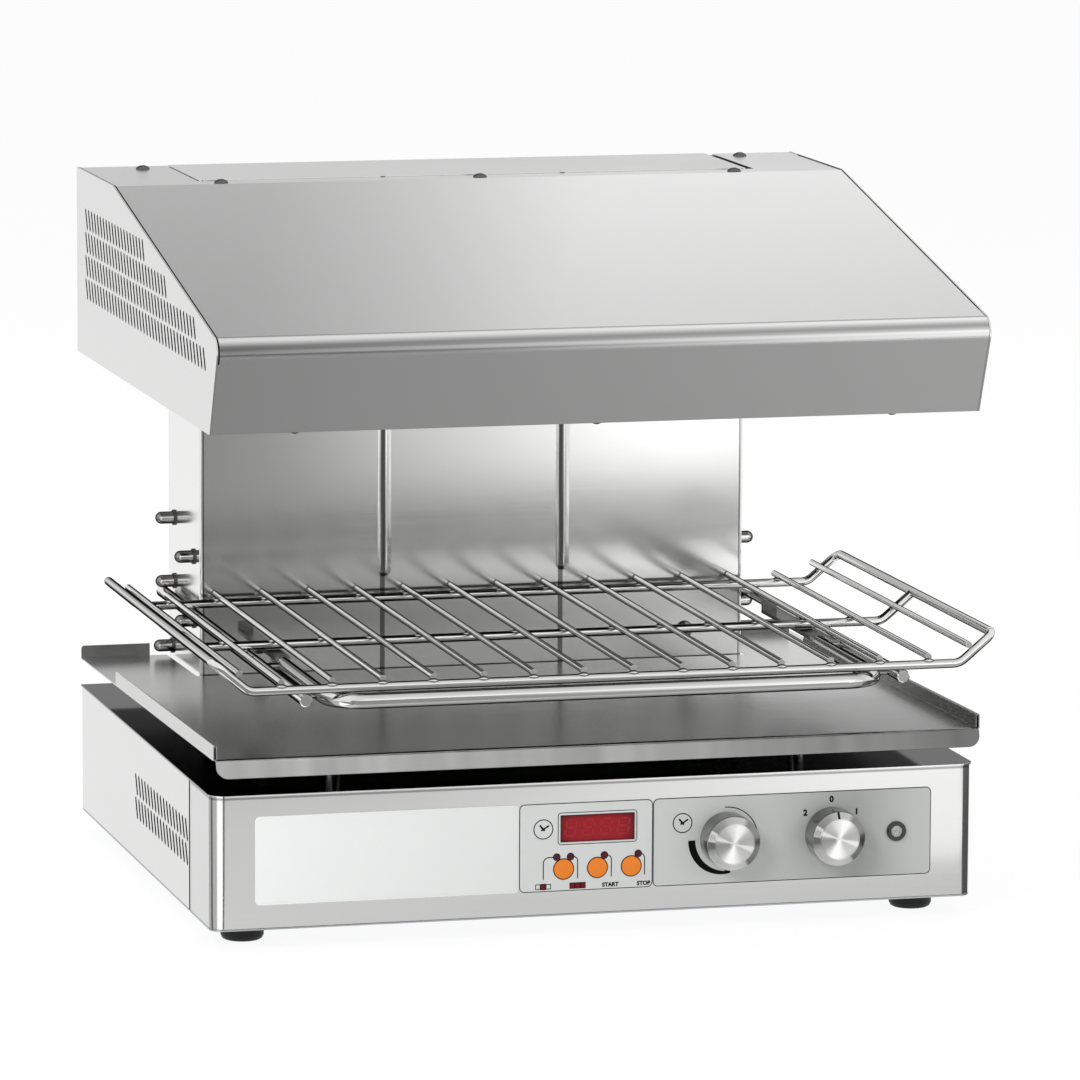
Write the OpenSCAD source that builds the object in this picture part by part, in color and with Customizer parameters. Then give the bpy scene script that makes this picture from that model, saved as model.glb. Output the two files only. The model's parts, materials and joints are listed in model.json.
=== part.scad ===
// Cheese melter (salamander grill): a vented base casing with the controls, a column,
// a fixed heating hood, and a wire rack on a carrier that hangs from pegs at two heights.
// Millimetres. X runs to the right, Y to the back, Z up. The origin is on the ground,
// under the middle of the overall box.

/* [Base casing] */
// Width of the top plate and of the hood
body_w = 600; // [560:1:680]
// Depth of the base casing
base_d = 503; // [470:1:560]
// Where the casing's rear face stands
base_rear_y = 267.5; // [262:0.5:270]
// Height of the casing's underside above the ground
foot_h = 16; // [12:1:30]
// Height of the casing, underside to top plate
base_h = 103.6; // [100:0.1:130]
// Thickness of the casing's sheet metal
sheet = 1; // [0.8:0.1:1.2]
// Radius of the upright front corners
corner_r = 11; // [6:0.5:16]
// How far the front panel wraps round each side
wrap_d = 75.5; // [50:0.5:90]
// How far the top plate stands out past the panels
top_lip = 1; // [0.5:0.1:2]

/* [Feet] */
// Diameter of a rubber foot
foot_dia = 33; // [26:1:40]
// Distance of a foot's axis from the middle
foot_x = 265; // [240:1:268]
// Distance of a front foot's axis behind the front panel
foot_front_in = 50; // [30:1:70]
// Distance of a rear foot's axis ahead of the rear panel
foot_rear_in = 42; // [30:1:70]

/* [Vents] */
// Width of a vent slot
slot_w = 4.6; // [3:0.1:6]
// Upright height of a vent slot
slot_h = 17; // [12:0.5:17]
// Lean of the slots from upright, in degrees
slot_lean = 26; // [15:1:30]
// Distance between slots
slot_pitch = 11.85; // [11:0.05:13]
// Distance between rows of slots
slot_row = 18.7; // [18.5:0.1:22]

/* [Column] */
// Width of the column
column_w = 451; // [440:1:460]
// Depth of the column
column_d = 122; // [115:1:126]
// Thickness of the column's sheet
column_sheet = 1.2; // [1:0.1:1.6]
// Distance of the stiffening beads from the middle
bead_x = 74; // [50:1:110]
// Width of a bead
bead_w = 11; // [8:0.5:14]
// Height by which a bead stands proud
bead_rise = 2.2; // [1.5:0.1:3]

/* [Pegs] */
// Diameter of a peg
peg_dia = 10; // [8:0.5:11]
// Length of a peg outside the column
peg_out = 15.8; // [14:0.1:20]
// Height between the two rack levels
level_step = 52; // [46:1:54]
// Distance of the rear pegs ahead of the column's rear face
peg_rear_in = 23.5; // [20:0.5:28]
// Distance of the front pegs behind the column's front face
peg_front_in = 23.5; // [20:0.5:28]

/* [Hood] */
// Overall height
total_h = 541.6; // [530:0.1:600]
// Height of the hood's open underside above the ground
hood_low = 392.5; // [385:0.5:400]
// Depth of the flat top, rear face to bend
hood_top_d = 148; // [138:1:170]
// Distance from the rear face to the lower front edge
hood_low_d = 508; // [490:1:520]
// Distance from the rear face to the nose, were it not rounded
hood_nose_d = 539.7; // [530:0.1:545]
// Height of the nose, were it not rounded
hood_nose_z = 465.1; // [455:0.1:470]
// Radius of the rounded nose
nose_r = 13; // [8:0.5:16]
// How far the side panels stand proud of the cover
side_proud = 0.6; // [0.3:0.1:1]

/* [Heating] */
// Width of the glass
glass_w = 520; // [500:1:560]
// Depth of the glass
glass_d = 320; // [280:1:330]
// Thickness of the glass
glass_t = 4; // [3:0.5:5]
// Diameter of a heating tube
tube_dia = 10; // [8:0.5:14]

/* [Carrier and rack] */
// Diameter of a carrier rod
rod_dia = 10; // [8:0.5:11]
// Distance between the rod axes
rod_gauge = 466; // [462:0.5:470]
// Length of a carrier rod
rod_len = 527; // [500:1:530]
// Diameter of the carrier's bent tube
bar_dia = 12; // [10:0.5:14]
// Distance between the bent tube's arms
arm_gauge = 428; // [410:1:432]
// Diameter of the rack's frame wire
rail_dia = 7; // [6:0.5:8]
// Diameter of the rack's cross wires
wire_dia = 5; // [4:0.5:6]
// Distance between the cross wires
wire_pitch = 38.8; // [36:0.1:40]
// Number of cross wires on the flat part
wire_count = 14; // [12:2:14]
// Depth of the rack, front rail to rear rail
rack_d = 403; // [380:1:405]
// Width of the rack between its end rails
rack_w = 607; // [590:1:616]
// Height by which the rack's ends turn up
rack_rise = 22.2; // [20:0.1:30]

/* [Crumb tray] */
// Height of the tray's rear edge above the ground
tray_z = 141.7; // [140:0.1:143]
// Slope of the tray, front edge up, in degrees
tray_tilt = 0.9; // [0.7:0.1:1]
// Depth of the tray
tray_d = 513; // [500:1:516]
// Height of the tray's side hems
hem_h = 10.5; // [8:0.5:12]
// Depth of the front lip
lip_h = 14; // [10:0.5:16]
// Distance of the posts from the middle
post_x = 184; // [150:1:200]

/* [Controls] */
// Height of the printed panels
panel_h = 68; // [62:1:74]
// Middle of the printed panels above the ground
panel_z = 69; // [66:0.5:72]
// Left end of the blank panel
panel_left_x = -266; // [-272:1:-255]
// Where the blank panel meets the display panel
panel_mid_x = -61.5; // [-80:0.5:-50]
// Where the display panel meets the knob panel
panel_knob_x = 43.5; // [41:0.5:46]
// Right end of the knob panel
panel_right_x = 265; // [258:1:272]
// Diameter of a knob
knob_dia = 42.6; // [36:0.1:46]
// Height of a knob
knob_h = 22; // [18:0.5:26]
// Place of the timer knob across the panel
timer_x = 102; // [95:0.5:110]
// Place of the switch knob across the panel
switch_x = 185.5; // [175:0.5:190]
// Height of the knob axes above the ground
knob_z = 69.5; // [65:0.5:74]
// Diameter of a push button
button_dia = 15; // [12:0.1:15.5]
// Distance between the push buttons
button_gap = 26.6; // [22:0.1:30]
// Travel of a push button
button_travel = 0.6; // [0.4:0.1:0.8]

/* [Clearances] */
// Gap round parts that slide or lift off
slide_gap = 0.3; // [0.2:0.05:0.5]
// Gap round a turning shaft
shaft_gap = 0.06; // [0.03:0.01:0.1]
// Gap round fixed parts that pass through a sheet
hole_gap = 0.25; // [0.1:0.05:0.5]

/* [Hidden] */
$fn = 48;

// Base casing
half_w = body_w / 2;
panel_x = half_w - top_lip;
base_front_y = base_rear_y - base_d;
panel_front_y = base_front_y + top_lip;
panel_rear_y = base_rear_y - top_lip;
seam_y = panel_front_y + wrap_d;
base_top_z = foot_h + base_h;
plate_t = 1.2;
under_z = base_top_z - plate_t;
floor_z = foot_h + plate_t;
panel_low_z = floor_z + 0.3;
seam_gap = 0.4;
return_d = 12;
cut = 1;

// Column and hood
rear_y = 274;
cover_head = 2.4;
column_rear_y = rear_y - cover_head;
column_front_y = rear_y - column_d;
column_x = column_w / 2;
column_top_z = total_h - column_sheet;
column_bend = 2.5;
cap_gap = 1;
cap_slot = 7;

// Pegs: a rod lies on a front peg and under a rear peg
rod_z = 194.7;
peg_front_y = column_front_y + peg_front_in;
peg_rear_y = rear_y - peg_rear_in;
peg_reach = rod_dia / 2 + slide_gap + peg_dia / 2;
front_peg_z = rod_z - peg_reach;
rear_peg_z = rod_z + peg_reach;
stud_dia = 6;
stud_in = 12;

// Y and Z of the five pegs on each side
peg_list = [
  [peg_rear_y + 8, rear_peg_z - level_step - 2.4], [peg_rear_y, rear_peg_z],
  [peg_rear_y, rear_peg_z + level_step], [peg_front_y, front_peg_z],
  [peg_front_y, front_peg_z + level_step]
];

// Corners of the hood's side: rear top, bend, nose, lower front
hood_a = [rear_y, total_h];
hood_b = [rear_y - hood_top_d, total_h];
hood_n = [rear_y - hood_nose_d, hood_nose_z];
hood_f = [rear_y - hood_low_d, hood_low];
nose_c = corner_in(hood_b, hood_n, hood_f, nose_r);
hood_slot_z = total_h - 38.2;
hood_slot_in = 40;
top_screw_in = 89;
rear_screw_in = 50;
low_screw_in = 67;

// Heating: three zones of tubes over one sheet of ceramic glass
pan_z = hood_low + 3;
glass_mid_y = -38;
zone_w = 172;
tube_gap = 48;
tube_len = 296;
tube_z = pan_z + sheet + glass_t + 14;
holder_half = 70;
holder_d = 14;
holder_h = 24;
reflector_h = 36;
reflector_gap = 4;
reflector_x = max(glass_w / 2, zone_w + holder_half) + reflector_gap;
reflector_y = max(glass_d / 2, tube_len / 2 + holder_d / 2) + reflector_gap;
wool_t = 22;

// Carrier and rack
rod_rear_y = rear_y - 10;
rod_front_y = rod_rear_y - rod_len;
rod_top_z = rod_z + rod_dia / 2;
bar_z = rod_top_z - bar_dia / 2;
bar_front_y = rod_front_y - 5;
bar_bend_r = 28;
arm_end_y = -80;
strip_w = 12;
strip_t = 3;
strip_y = 36;
tab_h = 6.8;
rail_z = rod_top_z + slide_gap + rail_dia / 2;
wire_z = rail_z + rail_dia / 2 + wire_dia / 2;
wire_rear_y = column_front_y - 2;
rack_rear_y = wire_rear_y - 11;
rack_front_y = rack_rear_y - rack_d;
rack_mid_y = (rack_front_y + rack_rear_y) / 2;
rack_bend = 40;
rack_bend_r = 14;
rack_corner_r = 8;
joint_lap = 0.01;
rise_run = (rack_rise - rack_bend_r * (1 - cos(rack_bend))) / tan(rack_bend);
rack_bend_x = rack_w / 2 - rise_run - rack_bend_r * sin(rack_bend);
incline = rise_run / cos(rack_bend);

// Crumb tray
tray_rear_y = base_rear_y - 1.5;
tray_x = half_w;
hem_rear_y = 124;
bend_r = 4;
bend_y = 2 - tray_d;
tray_side_gap = 3.5;
post_dia = 12;
post_front_y = -142;
post_rear_y = 90;

// Controls
overlay_t = 0.5;
face_y = panel_front_y - overlay_t;
panel_back_y = panel_front_y + sheet;
button_z = 52;
led_z = 61.6;
led_dia = 4.6;
led_x = [-32, -21.2, 5.4, 32];
led_gap = 0.2;
window_w = 58.4;
window_h = 21;
window_z = 83;
lamp_x = 237.2;
lamp_dia = 15.4;
shaft_dia = 6;
bush_dia = 9;
bush_front = 4;
knob_gap = 0.6;
board_y = panel_back_y + 12;
tab_t = 1.2;
stem_len = 3;
shaft_back = 20;

// Rear of the base, and what stands inside it
gland_x = 100 - half_w;
gland_z = 52;
gland_dia = 20;
vent_w = 5;
vent_h = 16;
vent_pitch = 12;
vent_row = 22;
terminal_x = 70 - half_w;
terminal_w = 60;
terminal_h = 24;
relay_w = 100;
relay_d = 55;
relay_h = 38;

// ---------- shared shapes ----------

// Offset of the corner b of the line a-b-c by t to its left
function corner_in(a, b, c, t) =
  let (u = (b - a) / norm(b - a), v = (c - b) / norm(c - b),
       n = [-u[1], u[0]], m = [-v[1], v[0]])
  b + t * (n + m) / (1 + n * m);

// Left normal of the line a-b
function left_of(a, b) = let (u = (b - a) / norm(b - a)) [-u[1], u[0]];

module rounded_rect(x0, x1, y0, y1, r) {
  translate([x0 + r, y0]) square([x1 - x0 - 2 * r, y1 - y0]);
  translate([x0, y0 + r]) square([x1 - x0, y1 - y0 - 2 * r]);
  for (x = [x0 + r, x1 - r], y = [y0 + r, y1 - r])
    translate([x, y]) circle(r);
}

// Box between two opposite corners
module block(a, b) {
  translate(a) cube(b - a);
}

module mirrored_x() {
  children();
  mirror([1, 0, 0]) children();
}

// Solid from a drawing in the Y-Z plane, from x0 to x1
module along_x(x0, x1) {
  translate([x0, 0, 0]) rotate([90, 0, 90]) linear_extrude(x1 - x0) children();
}

// Solid from a drawing in the X-Z plane, from y0 to y1
module along_y(y0, y1) {
  translate([0, y1, 0]) rotate([90, 0, 0]) linear_extrude(y1 - y0) children();
}

// Round bar along Y
module bar_y(x, y0, y1, z, d) {
  translate([x, y1, z]) rotate([90, 0, 0]) cylinder(d = d, h = y1 - y0);
}

// Round bar along X
module bar_x(x0, x1, y, z, d) {
  translate([x0, y, z]) rotate([0, 90, 0]) cylinder(d = d, h = x1 - x0);
}

// One leaning slot in a Y-Z drawing, its top towards the back
module slot() {
  straight = (slot_h - slot_w) / cos(slot_lean);
  rotate(-slot_lean) {
    translate([-slot_w / 2, -straight / 2]) square([slot_w, straight]);
    for (end = [-1, 1])
      translate([0, end * straight / 2]) circle(d = slot_w);
  }
}

// Rows of slots from the middle of the rearmost slot in the top row
module slots(rear, top, counts) {
  for (row = [0 : len(counts) - 1], i = [0 : counts[row] - 1])
    translate([rear - i * slot_pitch, top - row * slot_row]) slot();
}

// Pan-head screw, its shank down
module pan_screw(d, h, shank) {
  difference() {
    intersection() {
      cylinder(d = d, h = h);
      translate([0, 0, h - d * 0.75]) sphere(d = d * 1.5);
    }
    for (turn = [0, 90])
      rotate(turn) translate([-d * 0.25, -0.5, h - 1]) cube([d * 0.5, 1, 2]);
  }
  translate([0, 0, -shank]) cylinder(d = d * 0.45, h = shank);
}

// ---------- base casing ----------

module casing_outline(inset) {
  r = corner_r - inset;
  x = panel_x - inset;
  y0 = panel_front_y + inset;
  y1 = panel_rear_y - inset;
  translate([-x + r, y0]) square([2 * (x - r), y1 - y0]);
  translate([-x, y0 + r]) square([2 * x, y1 - y0 - r]);
  for (side = [-1, 1])
    translate([side * (x - r), y0 + r]) circle(r);
}

module base_front() {
  color("gainsboro")
  difference() {
    translate([0, 0, panel_low_z]) linear_extrude(under_z - panel_low_z)
      difference() {
        casing_outline(0);
        casing_outline(sheet);
        translate([-body_w, seam_y]) square([2 * body_w, base_d]);
      }
    along_y(panel_front_y - cut, panel_back_y + cut) front_holes();
  }
}

// Everything that passes through the front panel
module front_holes() {
  translate([-window_w / 2 - 0.5, window_z - window_h / 2 - 0.5])
    square([window_w + 1, window_h + 1]);
  for (x = led_x)
    translate([x, led_z]) circle(d = led_dia + 2 * led_gap);
  for (i = [-1 : 1])
    translate([i * button_gap, button_z]) circle(d = button_dia + 2 * slide_gap);
  for (x = [timer_x, switch_x])
    translate([x, knob_z]) circle(d = bush_dia + 2 * hole_gap);
  translate([lamp_x, knob_z]) circle(d = lamp_dia - 3 + 2 * hole_gap);
}

module base_side() {
  rear_slot_y = 47;
  top_slot_z = 77.3;
  difference() {
    union() {
      block([panel_x - sheet, seam_y + seam_gap, panel_low_z], [panel_x, panel_rear_y, under_z]);
      block([panel_x - return_d, panel_rear_y - sheet, panel_low_z],
            [panel_x, panel_rear_y, under_z]);
    }
    along_x(panel_x - sheet - cut, panel_x + cut) slots(rear_slot_y, top_slot_z, [17, 17]);
    for (z = [foot_h + 18, base_top_z - 18])
      translate([panel_x - return_d / 2, panel_rear_y + cut, z]) rotate([90, 0, 0])
        cylinder(d = 3, h = sheet + 2 * cut);
  }
}

module base_side_left() {
  color("gainsboro") mirror([1, 0, 0]) base_side();
}

module base_side_right() {
  color("gainsboro") base_side();
}

module base_rear() {
  x = panel_x - sheet - hole_gap;
  y = panel_rear_y - sheet;
  color("gainsboro")
  difference() {
    block([-x, y - sheet, panel_low_z], [x, y, under_z]);
    translate([gland_x, y + cut, gland_z]) rotate([90, 0, 0])
      cylinder(d = gland_dia + 2 * hole_gap, h = sheet + 2 * cut);
    for (i = [0 : 15], row = [0 : 1])
      translate([(i - 7.5) * vent_pitch, y - sheet / 2, 60 + row * vent_row])
        rounded_slot_y(vent_w, vent_h, sheet + 2);
    mirrored_x()
      for (z = [foot_h + 18, base_top_z - 18])
        translate([panel_x - return_d / 2, y + cut, z]) rotate([90, 0, 0])
          cylinder(d = 3, h = sheet + 2 * cut);
  }
}

// Upright slot cut along Y, centred on the origin
module rounded_slot_y(w, h, depth) {
  along_y(-depth / 2, depth / 2) {
    translate([-w / 2, -(h - w) / 2]) square([w, h - w]);
    for (end = [-1, 1])
      translate([0, end * (h - w) / 2]) circle(d = w);
  }
}

module base_top() {
  wire_hole = 30;
  color("lightgray")
  difference() {
    translate([0, 0, under_z]) linear_extrude(plate_t) {
      r = corner_r + top_lip;
      translate([-half_w + r, base_front_y]) square([2 * (half_w - r), base_d]);
      translate([-half_w, base_front_y + r]) square([2 * half_w, base_d - r]);
      for (side = [-1, 1])
        translate([side * (half_w - r), base_front_y + r]) circle(r);
    }
    for (x = [-150, 150])
      translate([x, column_front_y + column_d / 2, under_z - cut])
        cylinder(d = wire_hole, h = plate_t + 2 * cut);
    post_places() translate([0, 0, under_z - cut])
      cylinder(d = stud_dia + 2 * hole_gap, h = plate_t + 2 * cut);
  }
}

module base_bottom() {
  flange_h = 14;
  color("silver")
  difference() {
    union() {
      translate([0, 0, foot_h]) linear_extrude(plate_t) casing_outline(0);
      translate([0, 0, floor_z]) linear_extrude(flange_h) difference() {
        casing_outline(sheet + hole_gap + sheet);
        casing_outline(2 * sheet + hole_gap + sheet);
      }
    }
    foot_places() translate([0, 0, foot_h - cut])
      cylinder(d = 5 + 2 * hole_gap, h = plate_t + 2 * cut);
    for (i = [0 : 12], row = [-1, 1])
      translate([-120 + i * 20, row * 60, foot_h - cut]) linear_extrude(plate_t + 2 * cut) {
        translate([-3, -20]) square([6, 40]);
        for (end = [-20, 20])
          translate([0, end]) circle(d = 6);
      }
  }
}

module foot_places() {
  for (x = [-foot_x, foot_x], y = [panel_front_y + foot_front_in, panel_rear_y - foot_rear_in])
    translate([x, y, 0]) children();
}

module feet() {
  r = foot_dia / 2;
  recess_r = 6;
  recess_h = 5;
  bore_r = 2.75;
  color([0.08, 0.08, 0.08])
  foot_places() rotate_extrude()
    polygon([[recess_r, 0], [r - 3, 0], [r - 1.2, 1], [r, 3.5], [r, foot_h - 2], [r - 0.6, foot_h - 0.6],
             [r - 2, foot_h], [bore_r, foot_h], [bore_r, recess_h], [recess_r, recess_h]]);
}

module foot_screws() {
  color("silver")
  foot_places() {
    translate([0, 0, 2.2]) cylinder(d = 10, h = 2.8);
    translate([0, 0, 5]) cylinder(d = 5, h = foot_h + 2);
    translate([0, 0, floor_z]) difference() {
      cylinder(d = 9.2, h = 4, $fn = 6);
      translate([0, 0, -cut]) cylinder(d = 5, h = 4 + 2 * cut);
    }
  }
}

module cable_gland() {
  y = panel_rear_y - sheet;
  color([0.12, 0.12, 0.12])
  translate([gland_x, y, gland_z]) rotate([-90, 0, 0]) difference() {
    union() {
      cylinder(d = 27, h = 5, $fn = 6);
      translate([0, 0, -9]) cylinder(d = gland_dia, h = 9);
      translate([0, 0, -sheet - 5]) cylinder(d = 26, h = 5, $fn = 6);
    }
    translate([0, 0, -10]) cylinder(d = 11, h = 20);
  }
}

// ---------- crumb tray and its posts ----------

module post_places() {
  for (x = [-post_x, post_x], y = [post_front_y, post_rear_y])
    translate([x, y, 0]) children();
}

// Puts a drawing of the level tray at its slope, turned about its rear edge
module tilted() {
  translate([0, tray_rear_y, tray_z]) rotate([-tray_tilt, 0, 0]) children();
}

module tray_posts() {
  reach = 45;
  color("silver")
  difference() {
    post_places() {
      translate([0, 0, base_top_z]) cylinder(d = post_dia, h = reach);
      translate([0, 0, under_z - 8]) cylinder(d = stud_dia, h = plate_t + 8);
    }
    tilted() translate([-half_w, -tray_d, -sheet - slide_gap]) cube([body_w, tray_d, 80]);
  }
}

module crumb_tray() {
  wing = tray_x - column_x - tray_side_gap;
  rear_h = 10;
  upright = 2.5;
  notch_d = tray_rear_y - column_front_y + tray_side_gap;
  hem_end_y = hem_rear_y - tray_rear_y;
  hem_t = 3;
  peg_clear = column_x + peg_out + 2;
  color("darkgray")
  tilted() {
    difference() {
      translate([-tray_x, bend_y, -sheet]) cube([2 * tray_x, -bend_y, sheet]);
      translate([-tray_x + wing, -notch_d, -2]) cube([2 * (tray_x - wing), tray_d, 4]);
    }
    // hollow hems along the sides
    mirrored_x() along_y(bend_y, hem_end_y)
      difference() {
        translate([tray_x - hem_t, -sheet]) rounded_hem(hem_t, hem_h + sheet);
        translate([tray_x - hem_t + 0.8, -sheet - cut]) square([hem_t - 1.6, hem_h + cut - 0.4]);
      }
    // upstands along the rear wings
    mirrored_x() along_y(-sheet, 0)
      translate([peg_clear, 0]) {
        square([tray_x - peg_clear, rear_h - upright]);
        translate([0, rear_h - upright]) square([tray_x - peg_clear - upright, upright]);
        translate([tray_x - peg_clear - upright, rear_h - upright]) circle(upright);
      }
    translate([0, bend_y, -bend_r]) front_lip();
  }
}

// Front lip about the axis of its bend: the bend, then a plate with rounded lower corners
module front_lip() {
  bend = acos(0.28);
  corner = 9;
  x = tray_x - 1.5;
  straight = (lip_h - bend_r + bend_r * cos(bend)) / sin(bend);
  along_x(-x, x) difference() {
    circle(bend_r);
    circle(bend_r - sheet);
    polygon([[0, 0], [0, 20], [20, 20], [20, -20], [-20, -20],
             [-20 * sin(bend), 20 * cos(bend)]]);
  }
  rotate([bend - 90, 0, 0]) along_y(-bend_r, -bend_r + sheet) difference() {
    union() {
      translate([-x, corner - straight]) square([2 * x, straight - corner]);
      translate([corner - x, -straight]) square([2 * (x - corner), corner]);
      for (side = [-1, 1])
        translate([side * (x - corner), corner - straight]) circle(corner);
    }
    translate([-2 * x, 0]) square([4 * x, corner]);
  }
}

// Folded edge of width w and height h with a round top, standing on the origin
module rounded_hem(w, h) {
  square([w, h - w / 2]);
  translate([w / 2, h - w / 2]) circle(w / 2);
}

// ---------- controls ----------

module overlay(x0, x1) {
  along_y(face_y, panel_front_y) difference() {
    rounded_rect(x0, x1, panel_z - panel_h / 2, panel_z + panel_h / 2, 4);
    children();
  }
}

module overlay_blank() {
  color("whitesmoke") overlay(panel_left_x, panel_mid_x - 0.15);
}

module overlay_display() {
  color("whitesmoke") overlay(panel_mid_x + 0.15, panel_knob_x - 0.15) {
    translate([-window_w / 2, window_z - window_h / 2]) square([window_w, window_h]);
    for (x = led_x)
      translate([x, led_z]) circle(d = led_dia + 2 * led_gap);
    for (i = [-1 : 1])
      translate([i * button_gap, button_z]) circle(d = button_dia + 2 * slide_gap);
  }
}

module overlay_knobs() {
  color("silver") overlay(panel_knob_x + 0.15, panel_right_x) {
    for (x = [timer_x, switch_x])
      translate([x, knob_z]) circle(d = bush_dia + 2 * hole_gap);
    translate([lamp_x, knob_z]) circle(d = lamp_dia - 3 + 2 * hole_gap);
  }
}

module display_window() {
  color([0.45, 0.03, 0.03])
  block([-window_w / 2 + hole_gap, face_y, window_z - window_h / 2 + hole_gap],
        [window_w / 2 - hole_gap, panel_front_y + 1.5, window_z + window_h / 2 - hole_gap]);
}

module display_module() {
  color([0.1, 0.02, 0.02])
  block([-27, panel_front_y + 1.5, window_z - 9], [27, board_y, window_z + 9]);
}

module status_leds() {
  color([0.5, 0.02, 0.02])
  for (x = led_x)
    translate([x, board_y, led_z]) rotate([90, 0, 0]) {
      cylinder(d = led_dia, h = board_y - face_y + 0.2);
      cylinder(d = led_dia + 1.2, h = board_y - panel_back_y - 4);
    }
}

// A push button: a domed cap through the panel, tabs that keep it in, and a stem
module push_button(i) {
  proud = 1.1;
  dome_r = 40;
  tab_w = button_dia + 3;
  stem_dia = 6;
  top = proud - face_y;
  tab_top = -panel_back_y - slide_gap;
  color("darkorange")
  translate([i * button_gap, 0, button_z]) rotate([90, 0, 0]) {
    intersection() {
      translate([0, 0, tab_top]) cylinder(d = button_dia, h = top - tab_top + cut);
      translate([0, 0, top - dome_r]) sphere(r = dome_r, $fn = 128);
    }
    translate([-tab_w / 2, -3, tab_top - tab_t]) cube([tab_w, 6, tab_t]);
    translate([0, 0, tab_top - tab_t - stem_len]) cylinder(d = stem_dia, h = stem_len + tab_t);
  }
}

module button_zone() {
  push_button(-1);
}

module button_start() {
  push_button(0);
}

module button_stop() {
  push_button(1);
}

module button_switches() {
  front_y = panel_back_y + slide_gap + tab_t + stem_len + button_travel + slide_gap;
  color([0.15, 0.15, 0.15])
  for (i = [-1 : 1])
    block([i * button_gap - 6, front_y, button_z - 6], [i * button_gap + 6, board_y, button_z + 6]);
}

module control_board() {
  board_t = 1.6;
  color("darkgreen") {
    block([-58, board_y, 40], [40, board_y + board_t, 98]);
    for (x = [-54, 36], z = [44, 94])
      translate([x, board_y, z]) rotate([90, 0, 0]) cylinder(d = 6, h = board_y - panel_back_y);
  }
  color([0.1, 0.1, 0.1]) {
    block([-40, board_y + board_t, 48], [-10, board_y + 22, 74]);
    block([4, board_y + board_t, 48], [30, board_y + 16, 88]);
  }
}

// Turned knob with a skirt, a sloping ring and a dished face; its bore fits the shaft
module knob() {
  r = knob_dia / 2;
  ring_r = r - 5.6;
  ring_drop = 3;
  bore_r = shaft_dia / 2;
  wall = 2;
  boss_r = 6;
  boss_low = bush_front - knob_gap + 1;
  rotate_extrude($fn = 96)
    polygon([[bore_r, boss_low], [boss_r, boss_low], [boss_r, knob_h - 3.5],
             [r - wall - 0.3, knob_h - 3.5], [r - wall, 0], [r, 0],
             [r - 0.2, knob_h - ring_drop - 0.6], [r - 0.6, knob_h - ring_drop],
             [ring_r, knob_h], [ring_r - 0.6, knob_h], [ring_r - 0.9, knob_h - 0.4],
             [0, knob_h - 0.9], [0, knob_h - 5], [bore_r, knob_h - 5]]);
}

module knob_place(x) {
  translate([x, face_y - knob_gap, knob_z]) rotate([90, 0, 0]) children();
}

module timer_knob() {
  color("silver") knob_place(timer_x) knob();
}

module switch_knob() {
  color("silver") knob_place(switch_x) knob();
}

module shaft(x) {
  color("gray") knob_place(x) translate([0, 0, -shaft_back])
    cylinder(r = shaft_dia / 2 - 0.02, h = shaft_back + knob_h - 5.2);
}

module timer_shaft() {
  shaft(timer_x);
}

module switch_shaft() {
  shaft(switch_x);
}

// Body of a timer or switch: a threaded bush through the panel, with its nut, and a case
module rotary_body(x, w, h, d) {
  color([0.2, 0.2, 0.2])
  translate([x, panel_back_y, knob_z]) rotate([-90, 0, 0]) difference() {
    union() {
      translate([-w / 2, -h / 2, 0]) cube([w, h, d]);
      translate([0, 0, -sheet - overlay_t - bush_front]) cylinder(d = bush_dia, h = bush_front + 4);
      translate([0, 0, -sheet - overlay_t - 2]) cylinder(d = 13, h = 2, $fn = 6);
    }
    translate([0, 0, -20]) cylinder(r = shaft_dia / 2 + shaft_gap, h = 20 + shaft_back);
  }
}

module timer_body() {
  rotary_body(timer_x, 46, 46, 38);
}

module switch_body() {
  rotary_body(switch_x, 40, 40, 42);
}

module lamp_bezel() {
  r = lamp_dia / 2;
  tube_r = r - 1.5;
  color([0.1, 0.1, 0.1])
  translate([lamp_x, face_y, knob_z]) rotate([90, 0, 0]) {
    rotate_extrude() polygon([[tube_r - 1.4, -26], [tube_r, -26], [tube_r, 0], [r, 0], [r, 1.2],
                              [r - 1.2, 2.2], [tube_r - 1.4, 2.2]]);
  }
}

module lamp_lens() {
  r = lamp_dia / 2 - 1.5 - 1.4;
  color([0.8, 0.8, 0.8])
  translate([lamp_x, face_y, knob_z]) rotate([90, 0, 0]) {
    translate([0, 0, -24]) cylinder(r = r, h = 25.5);
    translate([0, 0, 1.5]) intersection() {
      cylinder(r = r, h = 2);
      translate([0, 0, -4]) sphere(r = 6.2);
    }
  }
}

module terminal_block() {
  depth = 25;
  pitch = terminal_w / 5;
  y = panel_rear_y - 52;
  color("ivory") difference() {
    block([terminal_x, y - depth, floor_z], [terminal_x + terminal_w, y, floor_z + terminal_h]);
    for (i = [0 : 4])
      translate([terminal_x + (i + 0.5) * pitch, y - depth / 2, floor_z + 8])
        cylinder(d = pitch / 2, h = terminal_h);
  }
}

module relay_block() {
  rail = 8;
  rim = 3;
  step = relay_w / 3;
  y0 = panel_rear_y - 206;
  color("dimgray") {
    block([-relay_w / 2, y0, floor_z], [relay_w / 2, y0 + relay_d, floor_z + rail]);
    for (i = [-1 : 1])
      translate([(i - 0.5) * step + rim, y0 + rim, floor_z + rail])
        cube([step - 2 * rim, relay_d - 2 * rim, relay_h]);
  }
}

// ---------- column ----------

module bead(grow) {
  half = bead_w / 2;
  r = (half * half + bead_rise * bead_rise) / (2 * bead_rise);
  low_z = 224;
  y = column_front_y - bead_rise + r;
  for (x = [-bead_x, bead_x])
    translate([x, y, low_z]) {
      cylinder(r = r + grow, h = column_top_z - low_z - 60);
      sphere(r = r + grow);
    }
}

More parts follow.
